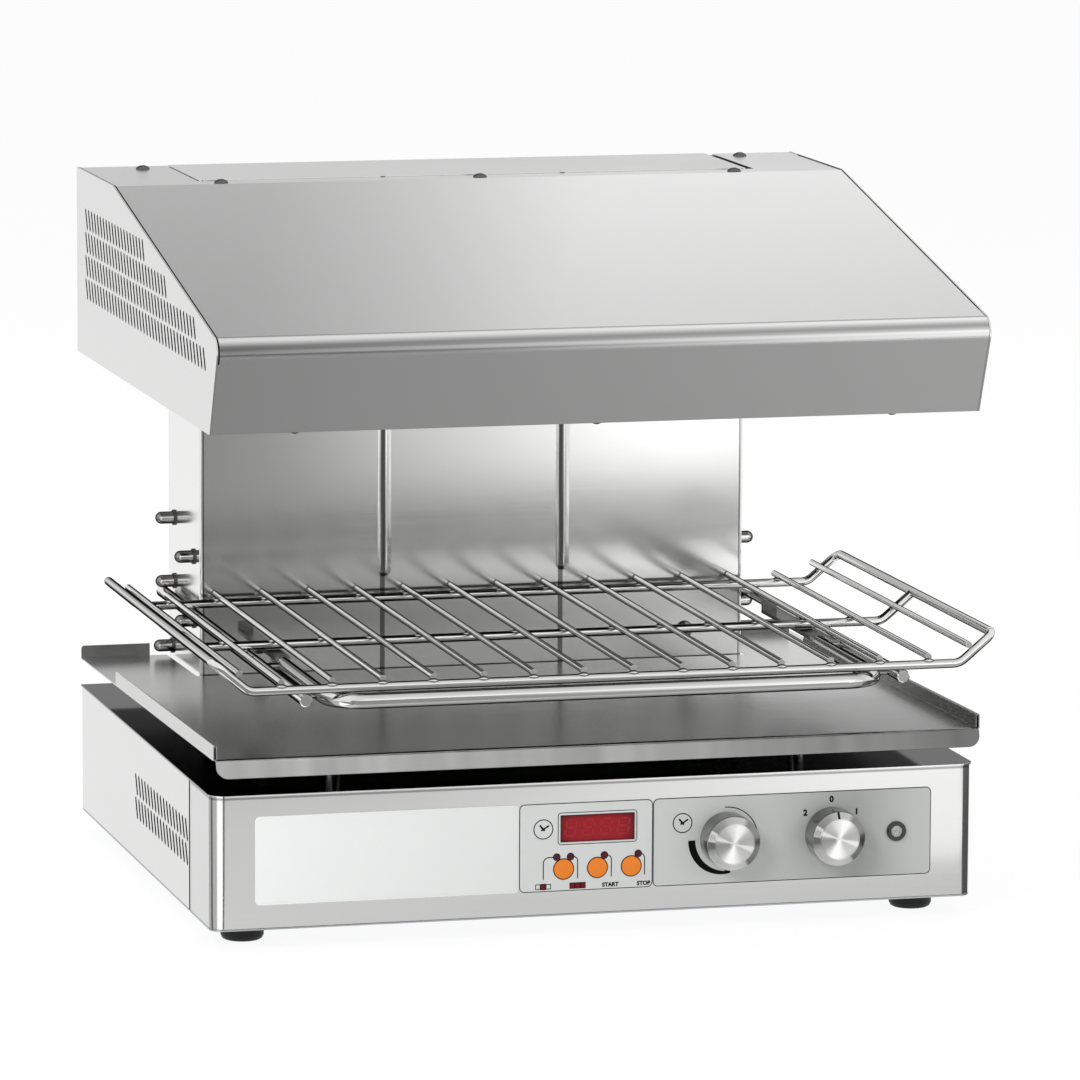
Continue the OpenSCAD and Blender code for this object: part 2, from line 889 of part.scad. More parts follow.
module column_wrap() {
  z1 = column_top_z - base_top_z;
  color("gainsboro")
  difference() {
    union() {
      translate([0, 0, base_top_z]) linear_extrude(z1) difference() {
        column_outline(0, column_bend);
        column_outline(column_sheet, column_bend - column_sheet);
      }
      intersection() {
        bead(0);
        block([-column_x, column_front_y - 10, base_top_z],
              [column_x, column_front_y + column_sheet, column_top_z]);
      }
    }
    intersection() {
      bead(-column_sheet);
      block([-column_x, column_front_y - 10, base_top_z],
            [column_x, column_front_y + 2 * column_sheet, column_top_z]);
    }
    peg_places() bar_x(-stud_in, cut, 0, 0, stud_dia + 2 * hole_gap);
    plug_places() rotate([90, 0, 0])
      translate([0, 0, -column_sheet - cut]) cylinder(d = 8 + 2 * hole_gap, h = 6);
  }
}

// Plan of the folded column, its rear side open
module column_outline(inset, r) {
  x = column_x - inset;
  y0 = column_front_y + inset;
  y1 = column_rear_y - column_sheet;
  translate([-x + r, y0]) square([2 * (x - r), y1 - y0]);
  translate([-x, y0 + r]) square([2 * x, y1 - y0 - r]);
  for (side = [-1, 1])
    translate([side * (x - r), y0 + r]) circle(r);
}

module column_rear() {
  z0 = base_top_z;
  color("gainsboro") difference() {
    block([-column_x, column_rear_y - column_sheet, z0], [column_x, column_rear_y, column_top_z]);
    cover_screw_places() rotate([90, 0, 0])
      translate([0, 0, -cut]) cylinder(d = 4.4, h = column_sheet + 2 * cut);
  }
}

module column_cap() {
  lip = 12;
  inset = column_sheet + hole_gap;
  inside = column_x - inset - sheet;
  color("gainsboro") {
    block([-column_x, column_front_y, column_top_z], [column_x, rear_y, total_h]);
    difference() {
      translate([0, 0, column_top_z - lip]) linear_extrude(lip)
        column_outline(inset, column_bend - inset);
      block([-inside, column_front_y + inset + sheet, column_top_z - lip - cut],
            [inside, rear_y, column_top_z + cut]);
    }
  }
}

// Two upright channels that take the pegs, and the brackets that carry the hood
module column_frame() {
  t = 2;
  w = 28;
  x1 = column_x - column_sheet;
  y0 = column_front_y + 14;
  y1 = column_rear_y - 5;
  color("darkgray") mirrored_x() {
    difference() {
      block([x1 - w, y0, base_top_z], [x1, y1, column_top_z - 14]);
      block([x1 - w - cut, y0 + t, base_top_z - cut], [x1 - t, y1 - t, column_top_z]);
      for (p = peg_list)
        translate([x1 - t - cut, p[0], p[1]]) rotate([0, 90, 0])
          cylinder(d = stud_dia + 2 * hole_gap, h = t + 2 * cut);
    }
    hood_bracket();
  }
}

// Angle on the column's side that carries the hood's pan, cover and rear plate
module hood_bracket() {
  t = 2;
  z0 = pan_z + sheet;
  z1 = total_h - side_proud - sheet;
  block([column_x, column_front_y + 6, z0], [column_x + t, rear_y - sheet, z1]);
  block([column_x, rear_y - sheet - t, z0], [column_x + 50, rear_y - sheet, z1]);
}

module peg_places() {
  mirrored_x()
    for (p = peg_list)
      translate([column_x, p[0], p[1]]) children();
}

module pegs() {
  straight = peg_out - peg_dia / 2;
  color("silver")
  peg_places() {
    bar_x(0, straight, 0, 0, peg_dia);
    translate([straight, 0, 0]) intersection() {
      sphere(d = peg_dia);
      translate([0, -peg_dia, -peg_dia]) cube(2 * peg_dia);
    }
    bar_x(-stud_in, 0, 0, 0, stud_dia);
  }
}

module peg_collars() {
  collar_t = 1.4;
  color("dimgray")
  peg_places() difference() {
    bar_x(0, collar_t, 0, 0, peg_dia + 2.6);
    bar_x(-cut, collar_t + cut, 0, 0, peg_dia + 0.1);
  }
}

module plug_places() {
  mirrored_x()
    translate([column_x - 48.5, column_front_y, base_top_z + 46.4]) children();
}

module column_plugs() {
  color("silver")
  plug_places() rotate([90, 0, 0]) {
    intersection() {
      cylinder(d = 14, h = 4);
      translate([0, 0, 3.2 - 10]) sphere(r = 10);
    }
    translate([0, 0, -5]) cylinder(d = 8, h = 5);
  }
}

module cover_screw_places() {
  low = base_top_z + 20;
  step = (total_h - 30 - low) / 3;
  mirrored_x()
    for (i = [0 : 3])
      translate([column_x - 9, column_rear_y, low + i * step]) children();
}

// Screws of the column's rear cover and of the base's rear panel
module cover_screws() {
  color("silver") {
    cover_screw_places() rotate([-90, 0, 0]) pan_screw(7.5, cover_head, 4);
    mirrored_x()
      for (z = [foot_h + 18, base_top_z - 18])
        translate([panel_x - return_d / 2, panel_rear_y, z]) rotate([-90, 0, 0])
          pan_screw(6, 2, 4);
  }
}

// ---------- hood ----------

// Side view of the hood, drawn t inside its outline; low is the drawing's lower edge
module hood_shape(t, low, rear) {
  b = corner_in(hood_a, hood_b, hood_n, t);
  t1 = nose_c - (nose_r - t) * left_of(hood_b, hood_n);
  t2 = nose_c - (nose_r - t) * left_of(hood_n, hood_f);
  run = (hood_f - hood_n) / (hood_n[1] - hood_f[1]);
  f = t2 + run * (t2[1] - low);
  polygon([[rear, total_h - t], b, t1, nose_c, t2, f, [rear, low]]);
  translate(nose_c) circle(nose_r - t, $fn = 64);
}

module hood_cover() {
  x = half_w - 1.2;
  lip = 16;
  color("gainsboro")
  difference() {
    along_x(-x, x) difference() {
      hood_shape(side_proud, hood_low, rear_y);
      hood_shape(side_proud + sheet, hood_low + sheet, rear_y + cut);
      translate([rear_y - hood_low_d + lip, hood_low - cut]) square([hood_low_d, 3]);
    }
    // cut-out for the column, wider on its right
    block([-column_x - cap_gap, column_front_y - cap_gap, hood_low],
          [column_x + cap_slot, rear_y + cut, total_h + cut]);
    top_screw_places() translate([0, 0, -3 * sheet]) cylinder(d = 5.4, h = 10);
    bottom_screw_places() translate([0, 0, -3]) cylinder(d = 3.6, h = 10);
  }
}

module hood_side() {
  along_x(half_w - 1.2, half_w) difference() {
    hood_shape(0, hood_low, rear_y);
    slots(rear_y - hood_slot_in, hood_slot_z, [20, 27, 36, 39]);
  }
}

module hood_side_left() {
  color("gainsboro") mirror([1, 0, 0]) hood_side();
}

module hood_side_right() {
  color("gainsboro") hood_side();
}

module hood_rear() {
  x0 = column_x + cap_slot;
  x1 = half_w - 1.2;
  z1 = total_h - side_proud - sheet;
  color("gainsboro") {
    block([x0, rear_y - sheet, hood_low], [x1, rear_y, z1]);
    block([-x1, rear_y - sheet, hood_low], [-column_x - cap_gap, rear_y, z1]);
  }
}

module hood_pan() {
  front = rear_y - hood_low_d + 4;
  edge = 8;
  color("lightgray") difference() {
    block([-half_w + 1.2, front, pan_z], [half_w - 1.2, rear_y - sheet, pan_z + sheet]);
    block([-column_x - cap_gap, column_front_y - bead_rise - slide_gap, pan_z - cut],
          [column_x + cap_slot, rear_y + cut, pan_z + sheet + cut]);
    block([-glass_w / 2 + edge, glass_mid_y - glass_d / 2 + edge, pan_z - cut],
          [glass_w / 2 - edge, glass_mid_y + glass_d / 2 - edge, pan_z + sheet + cut]);
    bottom_screw_places() translate([0, 0, -2]) cylinder(d = 3.6, h = 10);
  }
}

module heater_glass() {
  color([0.15, 0.1, 0.1])
  block([-glass_w / 2, glass_mid_y - glass_d / 2, pan_z + sheet],
        [glass_w / 2, glass_mid_y + glass_d / 2, pan_z + sheet + glass_t]);
}

module reflector() {
  z = pan_z + sheet;
  color("silver") translate([0, glass_mid_y, 0]) difference() {
    block([-reflector_x, -reflector_y, z], [reflector_x, reflector_y, z + reflector_h]);
    block([-reflector_x + sheet, -reflector_y + sheet, z - cut],
          [reflector_x - sheet, reflector_y - sheet, z + reflector_h - sheet]);
  }
}

module heater_zone(i) {
  color("white")
  for (k = [-1 : 1])
    bar_y(i * zone_w + k * tube_gap, glass_mid_y - tube_len / 2, glass_mid_y + tube_len / 2,
          tube_z, tube_dia);
}

module heater_left() {
  heater_zone(-1);
}

module heater_centre() {
  heater_zone(0);
}

module heater_right() {
  heater_zone(1);
}

module heater_holders() {
  z0 = pan_z + sheet + glass_t;
  color("ivory")
  for (i = [-1 : 1], side = [-1, 1]) difference() {
    translate([i * zone_w - holder_half,
               glass_mid_y + side * (tube_len / 2 - 4) - holder_d / 2, z0])
      cube([2 * holder_half, holder_d, holder_h]);
    for (k = [-1 : 1])
      bar_y(i * zone_w + k * tube_gap, glass_mid_y - glass_d, glass_mid_y + glass_d,
            tube_z, tube_dia + 0.1);
  }
}

module insulation() {
  z = pan_z + sheet + reflector_h;
  color("beige")
  block([-reflector_x, glass_mid_y - reflector_y + 2, z],
        [reflector_x, glass_mid_y + reflector_y, z + wool_t]);
}

module top_screw_places() {
  z = total_h - side_proud;
  for (i = [-1 : 1])
    translate([i * (half_w - top_screw_in), rear_y - hood_top_d + 9, z]) children();
  for (side = [-1, 1])
    translate([side * (half_w - rear_screw_in), rear_y - 21, z]) children();
}

module hood_screws_top() {
  color("silver") top_screw_places() pan_screw(11, 3, 5);
}

module bottom_screw_places() {
  for (i = [-1 : 1])
    translate([i * (half_w - low_screw_in), rear_y - hood_low_d + 9, hood_low]) children();
}

module hood_screws_bottom() {
  color("silver") bottom_screw_places() mirror([0, 0, 1]) pan_screw(7, 2.2, 7);
}

// ---------- carrier ----------

module carrier_rods() {
  bevel = 0.8;
  color("silver")
  for (x = [-rod_gauge / 2, rod_gauge / 2])
    translate([x, rod_rear_y, rod_z]) rotate([90, 0, 0]) rotate_extrude()
      polygon([[0, 0], [rod_dia / 2 - bevel, 0], [rod_dia / 2, bevel],
               [rod_dia / 2, rod_len - bevel], [rod_dia / 2 - bevel, rod_len], [0, rod_len]]);
}

// Volume of the flat strips on the bent tube's arms
module strips() {
  for (side = [-1, 1])
    translate([side * arm_gauge / 2 - strip_w / 2, arm_end_y - 18, rod_top_z - strip_t])
      cube([strip_w, strip_y - arm_end_y + 18, strip_t]);
}

module carrier_bar() {
  x = arm_gauge / 2;
  color("silver") difference() {
    union() {
      bar_x(-x + bar_bend_r, x - bar_bend_r, bar_front_y, bar_z, bar_dia);
      for (side = [-1, 1]) {
        bar_y(side * x, bar_front_y + bar_bend_r, arm_end_y, bar_z, bar_dia);
        translate([side * (x - bar_bend_r), bar_front_y + bar_bend_r, bar_z])
          rotate(side > 0 ? -90 : 180) rotate_extrude(angle = 90)
            translate([bar_bend_r, 0]) circle(d = bar_dia);
      }
    }
    strips();
  }
}

module carrier_stops() {
  lug_dia = 7;
  x = arm_gauge / 2;
  color("silver") {
    strips();
    // tabs that the rack's rear rail meets
    for (side = [-1, 1])
      translate([side * x - strip_w / 2, strip_y - strip_t, rod_top_z])
        cube([strip_w, strip_t, tab_h]);
    // short bars that join the arms to the rods
    mirrored_x() difference() {
      for (y = [bar_front_y + 36, arm_end_y - 30])
        bar_x(x, rod_gauge / 2, y, rod_z - 0.5, lug_dia);
      for (y = [bar_front_y + 36, arm_end_y - 30]) {
        bar_y(x, y - 10, y + 10, bar_z, bar_dia);
        bar_y(rod_gauge / 2, y - 10, y + 10, rod_z, rod_dia);
      }
    }
  }
}

// ---------- rack ----------

// One upturned end of a rail: a bend, then a straight slope of the given length. A bend is
// a hair thicker than the straight wire and laps it, so that each joint is a clean step.
module upturn(slope) {
  translate([rack_bend_x, 0, rail_z + rack_bend_r]) rotate([90, 0, 0]) rotate(-90)
    rotate_extrude(angle = rack_bend) translate([rack_bend_r, 0])
      circle(d = rail_dia + 2 * joint_lap);
  translate([rack_bend_x, 0, rail_z + rack_bend_r]) rotate([0, -rack_bend, 0])
    translate([-joint_lap, 0, -rack_bend_r]) rotate([0, 90, 0])
      cylinder(d = rail_dia, h = slope + joint_lap);
}

// Straight level part of a rail
module level_rail() {
  bar_x(-rack_bend_x - joint_lap, rack_bend_x + joint_lap, 0, rail_z, rail_dia);
}

// Bent corner between a slope and an end rail
module rack_corner(slope) {
  translate([rack_bend_x, rack_corner_r - rack_d / 2, rail_z + rack_bend_r])
    rotate([0, -rack_bend, 0]) translate([slope, 0, -rack_bend_r])
      rotate(-90) rotate_extrude(angle = 90)
        translate([rack_corner_r, 0]) circle(d = rail_dia + 2 * joint_lap);
}

module rack_frame() {
  slope = incline - rack_corner_r;
  end_len = rack_d - 2 * rack_corner_r;
  color("silver")
  translate([0, rack_mid_y, 0])
  for (turn = [0, 180]) rotate(turn) {
    translate([0, -rack_d / 2, 0]) {
      level_rail();
      mirrored_x() upturn(slope + joint_lap);
    }
    bar_y(rack_w / 2, -end_len / 2 - joint_lap, end_len / 2 + joint_lap,
          rail_z + rack_rise, rail_dia);
    rack_corner(slope);
    mirror([0, 1, 0]) rack_corner(slope);
  }
}

module rack_centre_rail() {
  color("silver")
  translate([0, rack_mid_y, 0]) difference() {
    union() {
      level_rail();
      mirrored_x() upturn(incline - 1);
    }
    for (side = [-1, 1])
      bar_y(side * rack_w / 2, -10, 10, rail_z + rack_rise, rail_dia);
  }
}

module rack_wire() {
  bar_y(0, rack_front_y, wire_rear_y, 0, wire_dia);
}

module rack_wires() {
  end_step = wire_pitch - (rack_bend_x - (wire_count - 1) / 2 * wire_pitch)
             - rack_bend_r * rack_bend * PI / 180;
  up = (rail_dia + wire_dia) / 2;
  color("silver") {
    for (i = [0 : wire_count - 1])
      translate([(i - (wire_count - 1) / 2) * wire_pitch, 0, wire_z]) rack_wire();
    mirrored_x()
      translate([rack_bend_x, 0, rail_z + rack_bend_r]) rotate([0, -rack_bend, 0])
        translate([end_step, 0, -rack_bend_r + up]) rack_wire();
  }
}

// ---------- one line for each node ----------

base_front();
base_side_left();
base_side_right();
base_rear();
base_top();
base_bottom();
feet();
foot_screws();
tray_posts();
cable_gland();
overlay_blank();
overlay_display();
overlay_knobs();
display_window();
display_module();
status_leds();
button_zone();
button_start();
button_stop();
button_switches();
control_board();
timer_knob();
timer_shaft();
timer_body();
switch_knob();
switch_shaft();
switch_body();
lamp_lens();
lamp_bezel();
terminal_block();
relay_block();
column_wrap();
column_rear();
column_cap();
column_frame();
column_plugs();
pegs();
peg_collars();
cover_screws();
hood_cover();
hood_side_left();
hood_side_right();
hood_rear();
hood_pan();
heater_glass();
reflector();
heater_left();
heater_centre();
heater_right();
heater_holders();
insulation();
hood_screws_top();
hood_screws_bottom();
crumb_tray();
carrier_rods();
carrier_bar();
carrier_stops();
rack_frame();
rack_centre_rail();
rack_wires();
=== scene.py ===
# %% [markdown]
# # A counter-top salamander grill, dressed for the studio
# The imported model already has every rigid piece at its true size: panels, wires, knobs and
# screws. This lesson gives each one a real surface, adds the small printed and moulded
# details that sit on them, and sets up a plain studio. The model is loaded first, because
# everything else is placed by it.

# %% Load the model
import json
import math
import bpy
from mathutils import Matrix, Vector


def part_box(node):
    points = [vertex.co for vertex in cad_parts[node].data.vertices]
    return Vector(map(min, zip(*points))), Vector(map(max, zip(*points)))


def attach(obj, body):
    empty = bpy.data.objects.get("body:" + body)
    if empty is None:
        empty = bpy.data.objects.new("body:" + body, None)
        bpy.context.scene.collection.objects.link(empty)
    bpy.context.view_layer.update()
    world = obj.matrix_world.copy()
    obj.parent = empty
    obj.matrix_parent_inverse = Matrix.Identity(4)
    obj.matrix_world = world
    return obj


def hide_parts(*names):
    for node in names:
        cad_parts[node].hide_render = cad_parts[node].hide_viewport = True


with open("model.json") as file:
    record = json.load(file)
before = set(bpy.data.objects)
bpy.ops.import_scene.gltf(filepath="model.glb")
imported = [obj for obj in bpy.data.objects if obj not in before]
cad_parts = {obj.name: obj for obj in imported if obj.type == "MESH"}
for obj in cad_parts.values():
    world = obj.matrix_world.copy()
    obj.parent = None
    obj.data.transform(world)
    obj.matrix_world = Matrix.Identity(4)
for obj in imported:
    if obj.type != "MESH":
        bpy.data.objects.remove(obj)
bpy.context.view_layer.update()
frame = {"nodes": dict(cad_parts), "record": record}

MM = 0.001
nodes = frame["nodes"]

# %% [markdown]
# ## The camera
# A grill this size is best seen from about six metres with a long lens, a little from the
# left and from above, which keeps the hood's edges nearly parallel. The camera's three axes
# are worked out from its turn and tilt, and written into its matrix, which is exact.

# %% Camera
CAMERA_PLACE = (-1.41762, -5.45941, 1.13979)
CAMERA_TURN, CAMERA_TILT, CAMERA_ROLL = -0.2567, -0.1533, 0.0045
CAMERA_LENS = 242.129


def camera_matrix(place, turn, tilt, roll):
    level = math.cos(tilt)
    ahead = Vector((-math.sin(turn) * level, math.cos(turn) * level, math.sin(tilt)))
    right = ahead.cross(Vector((0, 0, 1))).normalized()
    up = right.cross(ahead)
    c, s = math.cos(roll), math.sin(roll)
    matrix = Matrix((c * right + s * up, c * up - s * right, -ahead)).transposed().to_4x4()
    matrix.translation = place
    return matrix


bpy.ops.object.camera_add()
camera = bpy.context.object
camera.name = "camera"
camera.data.sensor_width = 36
camera.data.lens = CAMERA_LENS
camera.data.clip_end = 100
camera.matrix_world = camera_matrix(CAMERA_PLACE, CAMERA_TURN, CAMERA_TILT, CAMERA_ROLL)
bpy.context.scene.camera = camera
bpy.context.scene.view_settings.view_transform = "Standard"
print("camera at", [round(v, 2) for v in camera.matrix_world.translation])

# %% [markdown]
# ## Small helpers
# An operator works on whatever is selected, and the loaded model comes in selected, so each
# step starts by clearing the selection. The other helpers start a material and set or join
# its sockets in one short line. The last ones make masks and curves over a piece.

# %% Helpers
def clear_selection():
    if bpy.context.mode != "OBJECT":
        bpy.ops.object.mode_set(mode="OBJECT")
    bpy.ops.object.select_all(action="DESELECT")


def start_material(name):
    mat = bpy.data.materials.new(name)
    mat.use_nodes = True
    tree = mat.node_tree
    skin = tree.nodes["Principled BSDF"]
    place = tree.nodes.new("ShaderNodeTexCoord")
    return mat, tree, skin, place.outputs["Object"]


def put(tree, socket, value):
    if isinstance(value, bpy.types.NodeSocket):
        tree.links.new(value, socket)
    else:
        socket.default_value = value


def add(tree, kind, group=None, **sockets):
    node = tree.nodes.new(kind)
    if group:
        node.node_tree = group
    for name, value in sockets.items():
        put(tree, node.inputs[name.replace("_", " ")], value)
    return node


def calculate(tree, kind, operation, values, output):
    node = tree.nodes.new(kind)
    node.operation = operation
    for socket, value in zip(node.inputs, values):
        put(tree, socket, value)
    return node.outputs[output]


def maths(tree, operation, *values):
    return calculate(tree, "ShaderNodeMath", operation, values, "Value")


def vector_maths(tree, operation, *values, output="Vector"):
    return calculate(tree, "ShaderNodeVectorMath", operation, values, output)


def chain(tree, operation, first, *others):
    for other in others:
        first = maths(tree, operation, first, other)
    return first


def times(tree, *values):
    return chain(tree, "MULTIPLY", *values)


def largest(tree, *values):
    return chain(tree, "MAXIMUM", *values)


def inverse(tree, value):
    """1 where the value is 0, and 0 where it is 1."""
    return maths(tree, "SUBTRACT", 1.0, value)


def blend_colour(tree, factor, a, b):
    node = tree.nodes.new("ShaderNodeMix")
    node.data_type = "RGBA"
    put(tree, node.inputs["Factor"], factor)
    put(tree, node.inputs[6], a if isinstance(a, bpy.types.NodeSocket) else (*a, 1))
    put(tree, node.inputs[7], b if isinstance(b, bpy.types.NodeSocket) else (*b, 1))
    return node.outputs[2]


def coordinate(tree, place, axis):
    return add(tree, "ShaderNodeSeparateXYZ", Vector=place).outputs[axis]


def facing(tree, axis):
    """How far the surface faces along an axis, from -1 to 1."""
    return coordinate(tree, tree.nodes.new("ShaderNodeTexCoord").outputs["Normal"], axis)


def through(tree, value, *stops):
    """A curve of straight pieces through (input, output) stops."""
    total = None
    for (c0, v0), (c1, v1) in zip(stops, stops[1:]):
        step = add(tree, "ShaderNodeMapRange", Value=value, From_Min=c0, From_Max=c1,
                   To_Min=v0 if total is None else 0.0, To_Max=v1 if total is None else v1 - v0)
        total = step.outputs[0] if total is None else maths(tree, "ADD", total, step.outputs[0])
    return total


def along(tree, place, axis, *stops):
    """A value that runs through (coordinate, value) stops along one axis of the piece."""
    return through(tree, coordinate(tree, place, axis), *stops)


def above(tree, value, limit):
    return maths(tree, "GREATER_THAN", value, limit)


def below(tree, value, limit):
    return maths(tree, "LESS_THAN", value, limit)


def size_of(tree, value):
    return maths(tree, "ABSOLUTE", value)


def near(tree, place, axis, centre, reach):
    """1 within reach of a coordinate, fading to 0 over a third of it."""
    return along(tree, place, axis, (centre - reach * 1.33, 0), (centre - reach, 1),
                 (centre + reach, 1), (centre + reach * 1.33, 0))


def seen_directly(tree):
    """1 for the camera and for what polished metal and glass show, 0 for the light on things."""
    ray = tree.nodes.new("ShaderNodeLightPath").outputs
    return largest(tree, ray["Is Camera Ray"], ray["Is Glossy Ray"], ray["Is Transmission Ray"])


print("helpers: materials, sums, masks and curves")

# %% [markdown]
# ## The studio
# A plain pale floor, a white surround and soft lamps. The surround and the floor show white
# to the camera and to polished metal through the Light Path node, so the lamps don't have to
# be strong. The floor still takes the shadow.

# %% World
world = bpy.data.worlds.new("studio")
bpy.context.scene.world = world
world.use_nodes = True
wt = world.node_tree
backdrop = wt.nodes["Background"]
put(wt, backdrop.inputs["Color"],
    blend_colour(wt, seen_directly(wt), (0.62, 0.62, 0.63), (1, 1, 1)))
backdrop.inputs["Strength"].default_value = 1
print("world:", world.name)

# %% Floor
FLOOR_SIZE = 60
clear_selection()
bpy.ops.mesh.primitive_plane_add(size=FLOOR_SIZE)
floor = bpy.context.object
floor.name = "floor"
mat, tree, skin, place = start_material("pale floor")
grain = add(tree, "ShaderNodeTexNoise", Vector=place, Scale=40.0, Detail=2.0)
put(tree, skin.inputs["Base Color"],
    blend_colour(tree, grain.outputs["Fac"], (0.86, 0.86, 0.86), (0.88, 0.88, 0.88)))
skin.inputs["Roughness"].default_value = 0.9
skin.inputs["Specular IOR Level"].default_value = 0.1
white = add(tree, "ShaderNodeEmission", Color=(1, 1, 1, 1), Strength=1.03)
mix = tree.nodes.new("ShaderNodeMixShader")
put(tree, mix.inputs[0], times(tree, seen_directly(tree), 0.88))
tree.links.new(skin.outputs[0], mix.inputs[1])
tree.links.new(white.outputs[0], mix.inputs[2])
tree.links.new(mix.outputs[0], tree.nodes["Material Output"].inputs["Surface"])
floor.data.materials.append(mat)
print("floor:", FLOOR_SIZE, "m square")

# %% Lamps
LAMP_AIM = Vector((0, -0.1, 0.2))


def lamp(name, place, size, power, aim=LAMP_AIM):
    """A soft square lamp that lights things but shows neither itself nor its reflection."""
    bpy.ops.object.light_add(type="AREA", location=place)
    light = bpy.context.object
    light.name = name
    light.data.shape = "SQUARE"
    light.data.size = size
    light.data.energy = power
    light.rotation_euler = (aim - Vector(place)).to_track_quat("-Z", "Y").to_euler()
    light.visible_camera = False
    light.visible_glossy = False


clear_selection()
lamp("key_left", (-2.3, -2.4, 2.3), 1.4, 60)
lamp("fill_right", (2.4, -2.6, 1.2), 1.6, 14)
lamp("top_soft", (0.2, 0.3, 3.0), 2.4, 34, aim=Vector((0, 0, 0.2)))

# %% [markdown]
# ## Cards for the metal to see
# Steel has no colour of its own to speak of: it shows what stands in front of it. As in any
# product studio, a few grey cards stand round the grill, out of the picture. Each is seen by
# polished metal alone, and its brightness runs from one side to the other.

# %% Cards
def card(name, corners, axis, *stops, fade=None):
    """A flat card through four corners; its brightness runs through the stops along an axis."""
    clear_selection()
    bpy.ops.mesh.primitive_plane_add(size=2)
    piece = bpy.context.object
    piece.name = name
    for vertex, corner in zip(piece.data.vertices, corners):
        vertex.co = corner
    mat = bpy.data.materials.new(name)
    mat.use_nodes = True
    tree = mat.node_tree
    tree.nodes.clear()
    place = tree.nodes.new("ShaderNodeTexCoord").outputs["Object"]
    strength = along(tree, place, axis, *stops)
    if fade:
        strength = times(tree, strength, along(tree, place, *fade))
    glow = add(tree, "ShaderNodeEmission", Strength=strength)
    out = tree.nodes.new("ShaderNodeOutputMaterial")
    back = tree.nodes.new("ShaderNodeNewGeometry").outputs["Backfacing"]
    clear = tree.nodes.new("ShaderNodeBsdfTransparent")
    mix = tree.nodes.new("ShaderNodeMixShader")
    put(tree, mix.inputs[0], back)
    tree.links.new(glow.outputs[0], mix.inputs[1])
    tree.links.new(clear.outputs[0], mix.inputs[2])
    tree.links.new(mix.outputs[0], out.inputs["Surface"])
    piece.data.materials.append(mat)
    piece.visible_camera = False
    piece.visible_diffuse = False
    piece.visible_shadow = False
    piece.visible_transmission = False


def upright_card(name, y, x0, x1, z0, z1, way, *stops, fade=None):
    """way 1 shines towards +Y, way -1 towards -Y."""
    if way > 0:
        corners = [(x1, y, z0), (x0, y, z0), (x1, y, z1), (x0, y, z1)]
    else:
        corners = [(x0, y, z0), (x1, y, z0), (x0, y, z1), (x1, y, z1)]
    card(name, corners, "X", *stops, fade=fade)


def floor_card(name, x0, x1, y0, y1, z, *stops):
    corners = [(x0, y0, z), (x1, y0, z), (x0, y1, z), (x1, y1, z)]
    card(name, corners, "X", *stops)


CARD_Z = 0.0004
LEFT_CORNER, RIGHT_CORNER = (-0.298, -0.234), (0.298, -0.234)
WEDGE_REACH = (0.02, 1.2)
WEDGE_Z = 0.0006


def floor_wedge(name, corner, turns, glow):
    """An even strip on the floor that fans out from a corner of the base, between two turns."""
    x, y = corner
    points = [(x + reach * math.cos(turn), y + reach * math.sin(turn), WEDGE_Z)
              for turn in map(math.radians, turns) for reach in WEDGE_REACH]
    card(name, points, "X", (0, glow), (1, glow))


upright_card("card_column", -1.0, -0.75, 0.62, 0.003, 0.35, 1,
             (0.0, 0.26), (0.1, 0.34), (0.16, 0.55), (0.3, 0.92), (0.42, 1.40), (0.52, 1.60))
floor_card("card_hood_face", -0.9, 0.9, -0.72, -0.3, 0.16, (-0.35, 0.25), (0.5, 0.455))
floor_card("card_base_far", -0.34, 0.6, -1.05, -0.45, CARD_Z,
           (-0.3, 0.82), (0.0, 0.86), (0.4, 1.25))
floor_card("card_base_near", -0.34, 0.6, -0.45, -0.26, CARD_Z, (-0.3, 0.86), (0.5, 0.72))
upright_card("card_slope", 1.5, -1.2, 1.6, 0.76, 2.4, -1,
             (0.16, 0.45), (0.33, 0.60), (0.5, 0.84), (0.8, 0.83), (1.0, 0.80),
             fade=("Z", (1.2, 1.42), (1.4, 1.12), (1.55, 0.9), (1.75, 0.78)))
upright_card("card_top", 1.45, -1.2, 1.6, 0.5, 0.77, -1, (-0.2, 0.70), (0.5, 0.64))
floor_wedge("wedge_front_left", LEFT_CORNER, (258, 268), 0.02)
floor_wedge("wedge_left_side", LEFT_CORNER, (110, 146), 0.62)
floor_wedge("wedge_left", LEFT_CORNER, (146, 166), 0.12)
floor_wedge("wedge_left_grey", LEFT_CORNER, (166, 208), 0.6)
floor_wedge("wedge_left_white", LEFT_CORNER, (209, 256), 1.5)
floor_wedge("wedge_right", RIGHT_CORNER, (-44, 40), 0.1)

# %% [markdown]
# ## Brushed grain
# Stainless sheet is brushed with a belt, so it has fine parallel scratches, long one way and
# hair-thin the other. A noise texture stretched along the grain gives them. The same group
# serves every sheet, wire and screw: only the stretch and the roughness change.

# %% Grain group
def new_group(name, inputs, outputs):
    group = bpy.data.node_groups.new(name, "ShaderNodeTree")
    for label, kind in inputs:
        group.interface.new_socket(label, in_out="INPUT", socket_type="NodeSocket" + kind)
    for label, kind in outputs:
        group.interface.new_socket(label, in_out="OUTPUT", socket_type="NodeSocket" + kind)
    return group, group.nodes.new("NodeGroupInput"), group.nodes.new("NodeGroupOutput")


